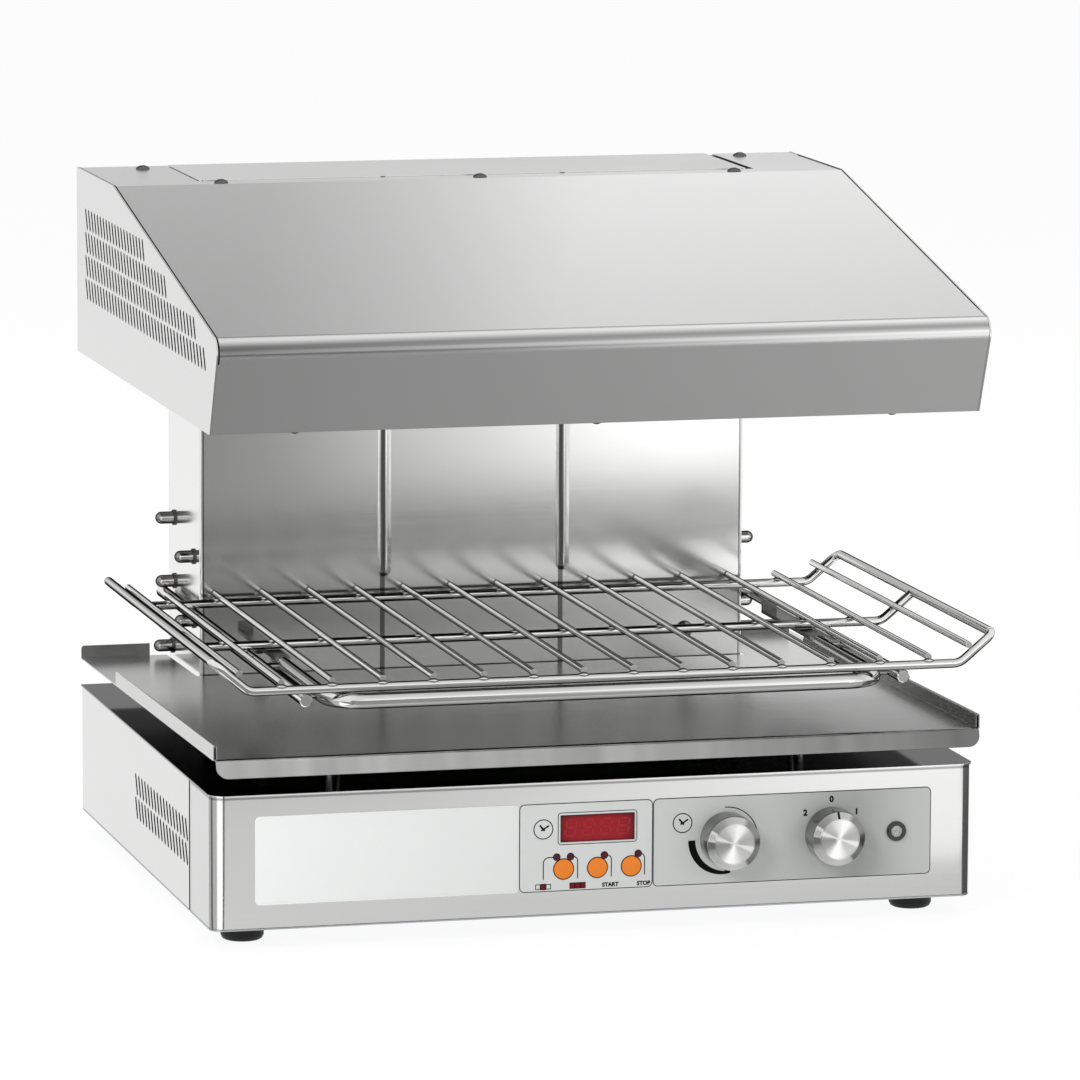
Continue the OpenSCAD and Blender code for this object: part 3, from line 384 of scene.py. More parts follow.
grain_group, gin, gout = new_group(
    "brushed grain",
    [("Place", "Vector"), ("Stretch", "Vector"), ("Roughness", "Float"), ("Spread", "Float"),
     ("Smudge Size", "Float")],
    [("Streak", "Float"), ("Smudge", "Float"), ("Roughness", "Float")])
t = grain_group
line = add(t, "ShaderNodeTexNoise", Scale=1.0, Detail=3.0, Roughness=0.65,
           Vector=vector_maths(t, "MULTIPLY", gin.outputs["Place"], gin.outputs["Stretch"]))
cloud = add(t, "ShaderNodeTexNoise", Vector=gin.outputs["Place"], Scale=gin.outputs["Smudge Size"],
            Detail=2.0, Roughness=0.5)
both = maths(t, "ADD", maths(t, "SUBTRACT", line.outputs["Fac"], 0.5),
             times(t, maths(t, "SUBTRACT", cloud.outputs["Fac"], 0.5), 0.7))
put(t, gout.inputs["Streak"], line.outputs["Fac"])
put(t, gout.inputs["Smudge"], cloud.outputs["Fac"])
put(t, gout.inputs["Roughness"],
    maths(t, "ADD", gin.outputs["Roughness"], times(t, both, gin.outputs["Spread"])))
print("group:", grain_group.name)

# %% [markdown]
# ## Soft edges
# A bent or cut sheet never has a perfectly sharp edge: it has a tiny round that catches a
# line of light. The Bevel node rounds the shading at an edge without touching the mesh, and
# the difference between its normal and the plain one gives a mask of the edges.

# %% Edge group
edge_group, gin, gout = new_group("soft edge", [("Radius", "Float")],
                                  [("Normal", "Vector"), ("Edge", "Float")])
t = edge_group
bevel = t.nodes.new("ShaderNodeBevel")
bevel.samples = 4
put(t, bevel.inputs["Radius"], gin.outputs["Radius"])
plain = t.nodes.new("ShaderNodeNewGeometry").outputs["Normal"]
dot = vector_maths(t, "DOT_PRODUCT", bevel.outputs[0], plain, output="Value")
put(t, gout.inputs["Normal"], bevel.outputs[0])
put(t, gout.inputs["Edge"], maths(t, "MINIMUM", times(t, inverse(t, dot), 4.0), 1.0))
print("group:", edge_group.name)

# %% [markdown]
# ## Steel
# One recipe makes all the steels: a metal whose tint and roughness follow the grain, with a
# bump far finer than a hair, and edges painted a shade lighter as a highlight; on sheets with a
# rim below 0 the edges are painted darker instead, as shade.

# %% Steel recipe
FLAT = 0.9                          # a surface that faces straight up is above this
# Colours for painted shade, painted reflection lines and painted highlights
PAINTED_SHADE_BLACK = (0.004, 0.004, 0.004)
WIRE_SIDE_DARK_REFLECTION = (0.006, 0.006, 0.006)
EDGE_SHADE_BLACK = (0.01, 0.01, 0.01)
END_HIGHLIGHT = (0.86, 0.86, 0.85)


def steel(name, dark, light, stretch, roughness, spread, smudge=9.0, bump=0.02, radius=0.0006,
          shade=None, rim=1.0, graze=1.0, dark_sides=None, dull=False):
    """A rim above 0 paints a highlight along the edges, and below 0 paints shade along them. graze
    is the strength of the reflection at a flat angle. dark_sides paints the dark line of reflection
    that a round wire shows along each side, and a highlight on faces that look straight to the
    front or back; it is the distance from the middle past which the wire runs from front to back.
    dull takes the shine off wherever the painted shade is dark."""
    mat, tree, skin, place = start_material(name)
    grain = add(tree, "ShaderNodeGroup", grain_group, Place=place, Stretch=stretch,
                Roughness=roughness, Spread=spread, Smudge_Size=smudge)
    edge = add(tree, "ShaderNodeGroup", edge_group, Radius=radius)
    tint = maths(tree, "ADD", times(tree, grain.outputs["Streak"], 0.7),
                 times(tree, grain.outputs["Smudge"], 0.3))
    # Painted highlight along the edges where rim is above 0; painted shade along them where it is
    # below 0.
    if rim > 0:
        tint = largest(tree, tint, times(tree, edge.outputs["Edge"], rim))
    colour = blend_colour(tree, tint, dark, light)
    if rim < 0:
        colour = blend_colour(tree, times(tree, edge.outputs["Edge"], -rim), colour, EDGE_SHADE_BLACK)
    metal = 1.0
    # Painted shade: the colour runs to black where the shade is 0.
    if shade:
        lit = shade(tree, place)
        metal = lit if dull else 1.0
        colour = blend_colour(tree, lit, PAINTED_SHADE_BLACK, colour)
    # Painted reflection: a dark line along each side of a round wire, and a painted highlight on
    # faces that look straight to the front or back.
    if dark_sides is not None:
        away = add(tree, "ShaderNodeLayerWeight", Blend=0.5).outputs["Facing"]
        x = size_of(tree, coordinate(tree, place, "X"))
        lengthways = through(tree, x, (dark_sides - 0.006, 0), (dark_sides + 0.003, 1))
        wide_lines = through(tree, away, (0.05, 0.1), (0.34, 0.5), (0.5, 0.93))
        thin_lines = through(tree, away, (0.76, 0.0), (0.78, 0.65), (0.815, 1.0))
        lines = blend_colour(tree, lengthways, wide_lines, thin_lines)
        metal = inverse(tree, times(tree, lines, lengthways))
        colour = blend_colour(tree, lines, colour, WIRE_SIDE_DARK_REFLECTION)
        ends = above(tree, size_of(tree, facing(tree, "Y")), 0.93)
        colour = blend_colour(tree, ends, colour, END_HIGHLIGHT)
    put(tree, skin.inputs["Base Color"], colour)
    put(tree, skin.inputs["Roughness"], grain.outputs["Roughness"])
    skin.inputs["Specular Tint"].default_value = (graze, graze, graze, 1)
    skin.inputs["Specular IOR Level"].default_value = 0.0
    put(tree, skin.inputs["Metallic"], metal)
    hair = add(tree, "ShaderNodeBump", Strength=bump, Distance=0.0002,
               Height=grain.outputs["Streak"], Normal=edge.outputs["Normal"])
    put(tree, skin.inputs["Normal"], hair.outputs[0])
    return mat


def dress(mat, *names):
    for name in names:
        for slot in nodes[name].material_slots:
            slot.material = mat
    print(mat.name, "->", ", ".join(names))


# %% [markdown]
# No sheet is evenly lit, so its light and shade are painted in. A shade is a mask of painted
# shade and painted reflection over a piece, 1 where its own colour shows and 0 where it is
# painted black: the walls of a slot, the inside of a fold, a line beside a bend.

# %% Shades
def skin_only(tree, place, skin_x):
    """1 on the outer skin of a side panel, its front edge, its rear flange and its upper rim;
    0 on the walls of its slots, which are painted black as shade. skin_x is a little inside the
    skin."""
    skin = above(tree, size_of(tree, coordinate(tree, place, "X")), skin_x)
    front_edge = below(tree, coordinate(tree, place, "Y"), -0.2335)
    rear_flange = above(tree, coordinate(tree, place, "Y"), 0.25)
    return largest(tree, skin, front_edge, rear_flange, above(tree, facing(tree, "Z"), FLAT))


def tray_shade(tree, place):
    """Painted shade on the tray: darker towards its front and at its left, and painted black
    underneath. Its front lip carries painted streaks of reflection along its length, and its
    right hem and rear edge are painted darker than the left."""
    fade = times(tree, along(tree, place, "Y", (-0.25, 0.21), (-0.1, 0.31), (0.06, 0.67)),
                 along(tree, place, "X", (-0.3, 0.95), (0.1, 0.9), (0.26, 1.7)))
    # Painted reflection: streaks along the lip
    band = add(tree, "ShaderNodeTexNoise", Scale=20.0, Detail=2.0, Roughness=0.7)
    band.noise_dimensions = "1D"
    put(tree, band.inputs["W"], coordinate(tree, place, "X"))
    lip = times(tree, below(tree, facing(tree, "Y"), -0.5),
                along(tree, place, "X", (-0.3, 0.48), (0.0, 0.42), (0.3, 0.19)),
                through(tree, band.outputs["Fac"], (0.3, 0.85), (0.7, 1.15)))
    sides = times(tree, above(tree, size_of(tree, facing(tree, "X")), 0.5),
                  along(tree, place, "X", (0.29, 1.0), (0.296, 0.5)))
    rear = times(tree, above(tree, facing(tree, "Y"), 0.5), 0.6)
    flat = times(tree, above(tree, facing(tree, "Z"), FLAT), fade)
    not_under = above(tree, facing(tree, "Z"), -0.5)
    return times(tree, not_under, largest(tree, lip, sides, rear, flat))


def base_front_shade(tree, place):
    """Painted shade: the left fold is a shade darker, and a thin painted shadow line runs under the
    upper edge.
    """
    side = along(tree, place, "X", (-0.2992, 0.84), (-0.2975, 1.0))
    upper_line = along(tree, place, "Z", (0.1158, 1.0), (0.1164, 0.5), (0.1176, 0.5), (0.1182, 1.0))
    return times(tree, side, upper_line)


def base_side_shade(tree, place):
    """Slot walls painted black as shade, and a dark line at the seam."""
    seam = near(tree, place, "Y", -0.1538, 0.0018)
    return times(tree, skin_only(tree, place, 0.29885), inverse(tree, seam))


# Painted shade: the walls of the slots are painted black.
def hood_side_shade(tree, place):
    return skin_only(tree, place, 0.29985)


def column_shade(tree, place):
    """The two beads and the folded edges hold a painted dark line of shade."""
    lines = [near(tree, place, "X", x, reach) for x, reach in
             ((-0.0756, 0.0017), (0.0724, 0.0017), (-0.2224, 0.0004), (0.2226, 0.0004))]
    front = below(tree, facing(tree, "Y"), -0.1)
    return inverse(tree, times(tree, largest(tree, *lines), front, 0.72))


def hood_shade(tree, place):
    """The bent nose holds painted reflections: a dark band between two bright lines, which both
    grow to the right.
    """
    turn = facing(tree, "Z")
    left = through(tree, turn, (-0.13, 0.77), (-0.06, 0.36), (0.0, 0.31), (0.122, 0.235),
                   (0.3, 0.13), (0.47, 0.21), (0.643, 0.49), (0.749, 0.68), (0.853, 0.73),
                   (0.906, 0.66), (0.972, 0.5), (0.978, 0.77))
    right = through(tree, turn, (-0.215, 0.77), (-0.205, 0.42), (-0.06, 0.61), (0.0, 0.72),
                    (0.122, 1.0), (0.182, 0.94), (0.3, 0.6), (0.47, 0.37), (0.588, 0.41),
                    (0.7, 0.6), (0.749, 0.7), (0.853, 0.9), (0.906, 0.86), (0.972, 0.45),
                    (0.978, 0.77))
    across = along(tree, place, "X", (-0.29, 0.0), (0.29, 1.0))
    return maths(tree, "ADD", times(tree, left, inverse(tree, across)), times(tree, right, across))


def top_shade(tree, place):
    """The flat of the top plate lies in the dark under the tray; its folded lips shine."""
    return inverse(tree, times(tree, above(tree, facing(tree, "Z"), FLAT), 0.78))


print("shades: side panels, tray, base front, column, hood and top plate")

# %% [markdown]
# Upright sheets are brushed level, so their lines are long across and hair-thin up and down.
# Wires are drawn, so theirs run along them. The stretch of each steel says which way.

# %% Steels
SHEET_GRAIN = (5, 5, 1100)
dress(steel("base front sheet", (0.66, 0.66, 0.655), (0.72, 0.72, 0.715), SHEET_GRAIN, 0.15, 0.05,
            rim=-0.5, shade=base_front_shade),
      "base_front", "base_rear")
dress(steel("base side sheet", (0.66, 0.66, 0.655), (0.72, 0.72, 0.715), SHEET_GRAIN, 0.2, 0.05,
            shade=base_side_shade, rim=-1.0, dull=True),
      "base_side_left", "base_side_right")
dress(steel("hood side sheet", (0.66, 0.66, 0.655), (0.71, 0.71, 0.705), SHEET_GRAIN, 0.2, 0.05,
            shade=hood_side_shade, rim=0.3, dull=True),
      "hood_side_left", "hood_side_right")
dress(steel("column sheet", (0.77, 0.77, 0.765), (0.83, 0.83, 0.82), (5, 5, 1300), 0.15, 0.06,
            shade=column_shade),
      "column_wrap", "column_cap", "column_rear", "hood_rear")
dress(steel("hood sheet", (0.94, 0.94, 0.935), (0.98, 0.98, 0.975), (3, 1200, 1200), 0.2, 0.05,
            shade=hood_shade),
      "hood_cover")
dress(steel("tray sheet", (0.88, 0.875, 0.87), (0.98, 0.98, 0.97), (5, 900, 900), 0.22, 0.06,
            shade=tray_shade, graze=0.68),
      "crumb_tray")
dress(steel("mirror sheet", (0.76, 0.76, 0.76), (0.84, 0.84, 0.84), (8, 500, 500), 0.06, 0.03,
            bump=0.004, shade=top_shade, graze=0.42),
      "base_top")
dress(steel("pan sheet", (0.50, 0.50, 0.50), (0.58, 0.58, 0.58), (8, 500, 500), 0.1, 0.05,
            bump=0.004),
      "hood_pan")
dress(steel("drawn wire", (0.80, 0.80, 0.79), (0.95, 0.95, 0.94), (500, 12, 500), 0.08, 0.05,
            smudge=60.0, radius=0.0004, graze=0.85, dark_sides=-0.01),
      "carrier_rods", "rack_wires")
dress(steel("drawn rail", (0.70, 0.70, 0.69), (0.86, 0.86, 0.85), (12, 500, 500), 0.08, 0.05,
            smudge=60.0, radius=0.0004, graze=0.75, dark_sides=0.296),
      "rack_frame", "rack_centre_rail")
dress(steel("bent bar", (0.66, 0.66, 0.65), (0.80, 0.80, 0.79), (12, 500, 500), 0.1, 0.05,
            smudge=60.0, radius=0.0004, graze=0.6, dark_sides=0.2),
      "carrier_bar")
dress(steel("turned peg", (0.28, 0.275, 0.265), (0.42, 0.415, 0.40), (12, 500, 500), 0.12, 0.06,
            smudge=60.0, radius=0.0004, graze=0.4, dark_sides=1.0),
      "pegs")
dress(steel("stop plate", (0.28, 0.28, 0.27), (0.40, 0.40, 0.39), (12, 500, 500), 0.2, 0.06,
            smudge=60.0, radius=0.0004, graze=0.4),
      "carrier_stops")
dress(steel("collar", (0.10, 0.10, 0.095), (0.17, 0.17, 0.165), (300, 300, 300), 0.2, 0.1,
            smudge=60.0, radius=0.0003, graze=0.3),
      "peg_collars")
dress(steel("turned screw", (0.22, 0.22, 0.22), (0.40, 0.40, 0.40), (900, 900, 900), 0.2, 0.1,
            smudge=300.0, radius=0.0003, graze=0.3),
      "foot_screws", "column_plugs", "cover_screws", "hood_screws_bottom")
dress(steel("bright post", (0.80, 0.80, 0.79), (0.94, 0.94, 0.93), (12, 12, 700), 0.12, 0.05,
            smudge=100.0),
      "tray_posts")
dress(steel("dark screw", (0.06, 0.06, 0.06), (0.22, 0.22, 0.22), (1500, 1500, 1500), 0.14, 0.1,
            smudge=500.0, radius=0.0005, graze=0.5),
      "hood_screws_top")
dress(steel("galvanised", (0.42, 0.44, 0.45), (0.60, 0.62, 0.63), (90, 90, 90), 0.4, 0.3,
            smudge=40.0),
      "base_bottom", "column_frame")
dress(steel("bright reflector", (0.78, 0.78, 0.78), (0.88, 0.88, 0.88), (4, 500, 500), 0.16, 0.1),
      "reflector")
dress(steel("turned brass", (0.55, 0.40, 0.16), (0.75, 0.58, 0.28), (900, 30, 900), 0.25, 0.15,
            smudge=200.0),
      "timer_shaft", "switch_shaft")

# %% [markdown]
# ## Plastics, rubber and ceramics
# These share a second recipe: a matt or satin colour with a fine speckle in tint, roughness
# and bump, at the scale of the real surface.

# %% Speckled recipe
def speckled(name, dark, light, scale, roughness, spread=0.1, bump=0.1, coat=0.0, depth=0.0002,
             shade=None, shine=0.3):
    mat, tree, skin, place = start_material(name)
    dots = add(tree, "ShaderNodeTexNoise", Vector=place, Scale=scale, Detail=3.0, Roughness=0.6)
    edge = add(tree, "ShaderNodeGroup", edge_group, Radius=0.0004)
    colour = blend_colour(tree, dots.outputs["Fac"], dark, light)
    if shade:
        colour = blend_colour(tree, shade(tree, place), (0.0, 0.0, 0.0), colour)
    put(tree, skin.inputs["Base Color"], colour)
    put(tree, skin.inputs["Roughness"],
        maths(tree, "ADD", roughness - spread / 2, times(tree, dots.outputs["Fac"], spread)))
    skin.inputs["Specular IOR Level"].default_value = shine
    skin.inputs["Coat Weight"].default_value = coat
    skin.inputs["Coat Roughness"].default_value = 0.05
    hair = add(tree, "ShaderNodeBump", Strength=bump, Distance=depth, Height=dots.outputs["Fac"],
               Normal=edge.outputs["Normal"])
    put(tree, skin.inputs["Normal"], hair.outputs[0])
    return mat


def window_shade(tree, place):
    """The window is darker in a band along its rim, a painted inner shadow."""
    across = along(tree, place, "X", (-0.0288, 0.3), (-0.0272, 0.62), (-0.02, 1.0), (0.017, 1.0),
                   (0.0265, 0.6), (0.0288, 0.28))
    up = along(tree, place, "Z", (0.0728, 0.4), (0.0745, 0.85), (0.077, 1.0), (0.0885, 1.0),
               (0.0912, 0.8), (0.0932, 0.35))
    return times(tree, across, up)


# Painted shade: the white films grow darker towards the right.
def white_film_shade(tree, place):
    return along(tree, place, "X", (-0.26, 1.0), (-0.063, 0.87), (-0.06, 0.76), (0.043, 0.73))


# Painted light and shade: the grey film is lighter at its left end, darkest near x 0.205, and a
# little lighter again at its right end.
def grey_film_shade(tree, place):
    return along(tree, place, "X", (0.045, 1.12), (0.14, 0.88), (0.205, 0.64), (0.25, 0.86),
                 (0.265, 0.9))


dress(speckled("rubber", (0.004, 0.004, 0.004), (0.012, 0.012, 0.012), 700.0, 0.5, bump=0.3),
      "feet")
dress(speckled("black plastic", (0.006, 0.006, 0.006), (0.014, 0.014, 0.014), 900.0, 0.3),
      "cable_gland", "button_switches", "timer_body", "switch_body", "relay_block")
dress(speckled("black gloss", (0.004, 0.004, 0.004), (0.010, 0.010, 0.010), 900.0, 0.12,
               coat=0.3, shine=0.5),
      "lamp_bezel")
dress(speckled("white film", (0.80, 0.82, 0.80), (0.84, 0.86, 0.84), 1600.0, 0.4, bump=0.05,
               shade=white_film_shade),
      "overlay_blank", "overlay_display")
dress(speckled("grey film", (0.52, 0.54, 0.52), (0.56, 0.58, 0.56), 1600.0, 0.4, bump=0.05,
               shade=grey_film_shade),
      "overlay_knobs")
dress(speckled("orange cap", (0.76, 0.19, 0.010), (0.82, 0.22, 0.016), 900.0, 0.4, bump=0.04),
      "button_zone", "button_start", "button_stop")
dress(speckled("red lens", (0.04, 0.003, 0.006), (0.07, 0.005, 0.009), 900.0, 0.3), "status_leds")
dress(speckled("red window", (0.27, 0.006, 0.012), (0.32, 0.009, 0.016), 300.0, 0.25, bump=0.01,
               shade=window_shade, shine=0.2),
      "display_window", "display_module")
dress(speckled("circuit board", (0.02, 0.14, 0.05), (0.04, 0.24, 0.09), 260.0, 0.45),
      "control_board")
dress(speckled("ceramic", (0.70, 0.67, 0.60), (0.82, 0.79, 0.72), 500.0, 0.6, bump=0.3),
      "terminal_block", "heater_holders")
dress(speckled("quartz tube", (0.72, 0.72, 0.70), (0.86, 0.86, 0.84), 300.0, 0.25, coat=0.4),
      "heater_left", "heater_centre", "heater_right")
dress(speckled("dark glass", (0.012, 0.010, 0.010), (0.022, 0.018, 0.018), 200.0, 0.08,
               spread=0.03, bump=0.02),
      "heater_glass")
dress(speckled("mineral wool", (0.50, 0.45, 0.33), (0.78, 0.73, 0.60), 320.0, 0.95, bump=0.9,
               depth=0.002),
      "insulation")
dress(speckled("clear lens", (0.12, 0.125, 0.12), (0.62, 0.625, 0.61), 420.0, 0.12, coat=0.6),
      "lamp_lens")

# %% [markdown]
# ## Turned knobs
# The knobs are aluminium, turned on a lathe. Fine rings round the middle pull each highlight
# into a wedge, like those on the bottom of a pan, and the cone round the face has wedges of
# its own. Here the wedges are painted highlights and painted shade in the colour: both follow
# the turn round the knob's axis, so a curve over that angle, read clockwise from the top,
# paints the light and dark wedges of each.

# %% Knob aluminium
def turning_axis(joint_name):
    """X and Z of the axis that a joint turns round, in millimetres."""
    joints = {joint["name"]: joint for joint in frame["record"]["behaviour"]["joints"]}
    x, _, z = joints[joint_name]["pos_m"]
    return x / MM, z / MM


TIMER_AXIS = turning_axis("timer_turn")
SWITCH_AXIS = turning_axis("selector_turn")

# Painted highlights and shade, as brightness at (degrees clockwise from the top, value)
FACE = ((0, 0.80), (12, 0.94), (30, 0.92), (52, 0.52), (75, 0.42), (95, 0.46), (104, 0.78),
        (112, 0.78), (122, 0.52), (150, 0.56), (172, 0.80), (186, 0.98), (204, 0.96), (226, 0.50),
        (240, 0.34), (268, 0.26), (279, 0.38), (286, 0.72), (293, 0.72), (301, 0.40), (325, 0.50),
        (340, 0.66), (360, 0.80))
CONE = ((0, 0.50), (24, 0.56), (36, 0.25), (90, 0.30), (143, 0.17), (151, 0.58), (182, 0.70),
        (212, 0.60), (242, 0.52), (256, 0.34), (262, 0.18), (275, 0.18), (279, 1.0), (299, 1.0),
        (304, 0.26), (330, 0.32), (346, 0.46), (360, 0.50))
BODY = ((0, 0.42), (140, 0.5), (215, 0.62), (248, 0.50), (256, 0.22), (264, 0.24), (270, 0.42),
        (300, 0.36), (318, 0.20), (345, 0.30), (360, 0.42))
FULL_TURN = 2 * math.pi


def turned_aluminium(name, axis):
    mat, tree, skin, place = start_material(name)
    centred = vector_maths(tree, "SUBTRACT", place, (axis[0] * MM, 0.0, axis[1] * MM))
    xyz = add(tree, "ShaderNodeSeparateXYZ", Vector=centred).outputs
    angle = maths(tree, "ADD", maths(tree, "ARCTAN2", xyz["X"], xyz["Z"]), FULL_TURN)
    degrees = times(tree, maths(tree, "MODULO", angle, FULL_TURN), 360 / FULL_TURN)
    reach = vector_maths(tree, "LENGTH", vector_maths(tree, "MULTIPLY", centred, (1.0, 0.0, 1.0)),
                         output="Value")
    rings = add(tree, "ShaderNodeTexNoise", Scale=2600.0, Detail=2.0)
    rings.noise_dimensions = "1D"
    put(tree, rings.inputs["W"], reach)
    edge = add(tree, "ShaderNodeGroup", edge_group, Radius=0.0003)
    on_cone = through(tree, reach, (0.0153, 0), (0.0158, 1))
    light = blend_colour(tree, on_cone, through(tree, degrees, *FACE),
                         through(tree, degrees, *CONE))
    on_body = above(tree, xyz["Y"], -0.2547)
    light = blend_colour(tree, on_body, light, through(tree, degrees, *BODY))
    grooves = blend_colour(tree, rings.outputs["Fac"], (0.84, 0.84, 0.83), (1.1, 1.1, 1.09))
    middle = through(tree, reach, (0.0006, 0.75), (0.004, 0.0))
    put(tree, skin.inputs["Base Color"],
        blend_colour(tree, middle, vector_maths(tree, "MULTIPLY", light, grooves),
                     (0.85, 0.85, 0.84)))
    put(tree, skin.inputs["Roughness"],
        maths(tree, "ADD", 0.16, times(tree, rings.outputs["Fac"], 0.16)))
    skin.inputs["Metallic"].default_value = 1.0
    hair = add(tree, "ShaderNodeBump", Strength=0.05, Distance=0.0002,
               Height=rings.outputs["Fac"], Normal=edge.outputs["Normal"])
    put(tree, skin.inputs["Normal"], hair.outputs[0])
    return mat


dress(turned_aluminium("turned aluminium left", TIMER_AXIS), "timer_knob")
dress(turned_aluminium("turned aluminium right", SWITCH_AXIS), "switch_knob")
print("axes:", TIMER_AXIS, SWITCH_AXIS)

# %% [markdown]
# ## Printed marks
# The control panels are printed films. The ink is a layer thinner than a hair, so each mark
# is a flat shape given 0.05 mm of height, which keeps its edge crisp at any zoom. A plate is
# the start of most marks: its corners are rounded with a vertex bevel, and an inset turns it
# into an outline.

# %% Mark helpers
INK = 0.05 * MM                           # the height of a mark
FILM_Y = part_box("overlay_display")[0][1]  # the face of the films
UPRIGHT = math.pi / 2


def reach_of(node):
    """Least and greatest X, then least and greatest Z of a node, in millimetres."""
    low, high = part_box(node)
    return low[0] / MM, high[0] / MM, low[2] / MM, high[2] / MM


def middle(node):
    """X and Z of a node's middle, in millimetres."""
    x0, x1, z0, z1 = reach_of(node)
    return (x0 + x1) / 2, (z0 + z1) / 2


def edit(select="SELECT"):
    bpy.ops.object.mode_set(mode="EDIT")
    bpy.ops.mesh.select_all(action=select)


def make_real():
    """Puts an object's place, turn and scale into its mesh."""
    bpy.ops.object.transform_apply(location=True, rotation=True, scale=True)


def on_film(x, z):
    return (x * MM, FILM_Y, z * MM)


def start_plate(name, x0, x1, z0, z1, turn=0.0):
    """A flat plate that faces the front, its size and place in millimetres."""
    clear_selection()
    bpy.ops.mesh.primitive_plane_add(size=1, location=on_film((x0 + x1) / 2, (z0 + z1) / 2),
                                     rotation=(UPRIGHT, turn, 0))
    plate = bpy.context.object
    plate.name = name
    plate.scale = ((x1 - x0) * MM, (z1 - z0) * MM, 1)
    make_real()
    return plate


def round_corners(radius):
    edit()
    bpy.ops.mesh.bevel(offset=radius * MM, segments=8, affect="VERTICES")


def make_outline(width):
    edit()
    bpy.ops.mesh.inset(thickness=width * MM, depth=0)
    bpy.ops.mesh.delete(type="FACE")


def extrude(dy, dz):
    bpy.ops.mesh.extrude_region_move(TRANSFORM_OT_translate={"value": (0, dy, dz)})


def close_mesh():
    """Turns every face outwards and leaves the mesh."""
    bpy.ops.mesh.select_all(action="SELECT")
    bpy.ops.mesh.normals_make_consistent(inside=False)
    bpy.ops.object.mode_set(mode="OBJECT")


def thicken(depth=INK):
    edit()
    extrude(-depth, 0)
    close_mesh()


def cut_away(place, normal):
    """Removes what lies on the side that the normal points to."""
    edit()
    bpy.ops.mesh.bisect(plane_co=[v * MM for v in place], plane_no=normal, clear_outer=True)


def join(name, pieces):
    clear_selection()
    for piece in pieces:
        piece.select_set(True)
    bpy.context.view_layer.objects.active = pieces[0]
    if len(pieces) > 1:
        bpy.ops.object.join()
    whole = bpy.context.object
    whole.name = name
    return whole


def own(piece, mat, body):
    piece.data.materials.clear()
    piece.data.materials.append(mat)
    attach(piece, body)
    print(piece.name, "faces:", len(piece.data.polygons))


print("the films' face is at y:", round(FILM_Y, 4))

# %% Outlines
def outline(name, x0, x1, z0, z1, radius, width):
    plate = start_plate(name, x0, x1, z0, z1)
    round_corners(radius)
    make_outline(width)
    thicken()
    return plate


def ring(x, z, radius, width, depth=INK, sides=64, cuts=()):
    clear_selection()
    bpy.ops.mesh.primitive_circle_add(vertices=sides, radius=radius * MM, fill_type="NGON",
                                      location=on_film(x, z), rotation=(UPRIGHT, 0, 0))
    make_real()
    circle = bpy.context.object
    make_outline(width)
    for place, normal in cuts:
        cut_away(place, normal)
    thicken(depth)
    return circle


lines = [
    outline("display_edge", *reach_of("overlay_display"), 4.2, 0.6),
    outline("knob_edge", *reach_of("overlay_knobs"), 4.2, 0.6),
    outline("window_edge", -31.3, 31.1, 70.6, 95.6, 2.6, 0.6),
]
CLOCKS_X, CLOCKS_Z = (-42.6, 66.9), 83.3
clock_rims = [ring(x, CLOCKS_Z, 7.8, 0.8) for x in CLOCKS_X]
print("outlines:", len(lines), len(clock_rims))

# %% [markdown]
# Each lamp has a line that runs from it, turns a rounded corner and points down to its
# mark. It is one corner of a large rounded outline, with the rest cut away.

# %% Leader lines
LAMPS_X, LAMPS_Z = (-32, -21.2, 5.4, 32), 61.4


def leader(x_lamp, x_down, z_end, radius, width=0.8):
    side = 1 if x_down > x_lamp else -1
    far = x_down - side * 40
    plate = start_plate("leader", min(x_down, far), max(x_down, far), z_end - 20,
                        LAMPS_Z + width / 2)
    round_corners(radius)
    make_outline(width)
    cut_away((0, 0, z_end), (0, 0, -1))
    cut_away((x_lamp, 0, 0), (-side, 0, 0))
    thicken()
    return plate


lines += [
    leader(-34.2, -42.9, 44.4, 5.0),
    leader(-19.4, -15.2, 44.4, 4.0),
    leader(7.2, 11.3, 44.6, 4.0),
    leader(33.8, 37.5, 44.8, 4.0),
]
lines += [outline("mark_box", x, x + 4.2, 36.8, 41.0, 0.2, 0.62) for x in (-48.8, -40.6)]
print("lines:", len(lines))

# %% Clock hands
def stroke(x, z, dx, dz, width):
    """A straight stroke through (x, z) that reaches dx, dz to each side of it."""
    long = 2 * math.hypot(dx, dz)
    return start_plate("stroke", x - long / 2, x + long / 2, z - width / 2, z + width / 2,
                       -math.atan2(dz, dx))


hands = []
for x in CLOCKS_X:
    for dx, dz, width in ((3.1, 1.9, 1.25), (-1.9, 2.2, 1.45)):
        hand = stroke(x + dx * 0.45, CLOCKS_Z + dz * 0.45, dx, dz, width)
        round_corners(0.2)
        thicken(INK * 1.4)
        hands.append(hand)
print("hands:", len(hands))

# %% [markdown]
# Letters and numbers come from Blender's own plain font: a text object with a little
# thickness, made into a mesh before it is put in place.

# %% Letters and numbers
CAPITAL = 1.37                      # the font's size over the height of its capitals


def word(text, x, z, height, weight=0.36):
    clear_selection()
    bpy.ops.object.text_add(location=on_film(x, z), rotation=(UPRIGHT, 0, 0))
    piece = bpy.context.object
    piece.data.body = text
    piece.data.align_x = "CENTER"
    piece.data.align_y = "CENTER"
    piece.data.size = height * CAPITAL * MM
    piece.data.resolution_u = 3
    piece.data.extrude = INK
    piece.data.offset = weight * MM
    bpy.ops.object.convert(target="MESH")
    make_real()
    return bpy.context.object


words = [word("START", 10.2, 38.3, 3.2, 0.22), word("STOP", 36.4, 38.2, 3.2, 0.22),
         word("2", 164.4, 86.8, 4.6), word("0", 185.2, 96.5, 4.6), word("1", 205.3, 86.0, 4.6)]
print("words:", len(words))

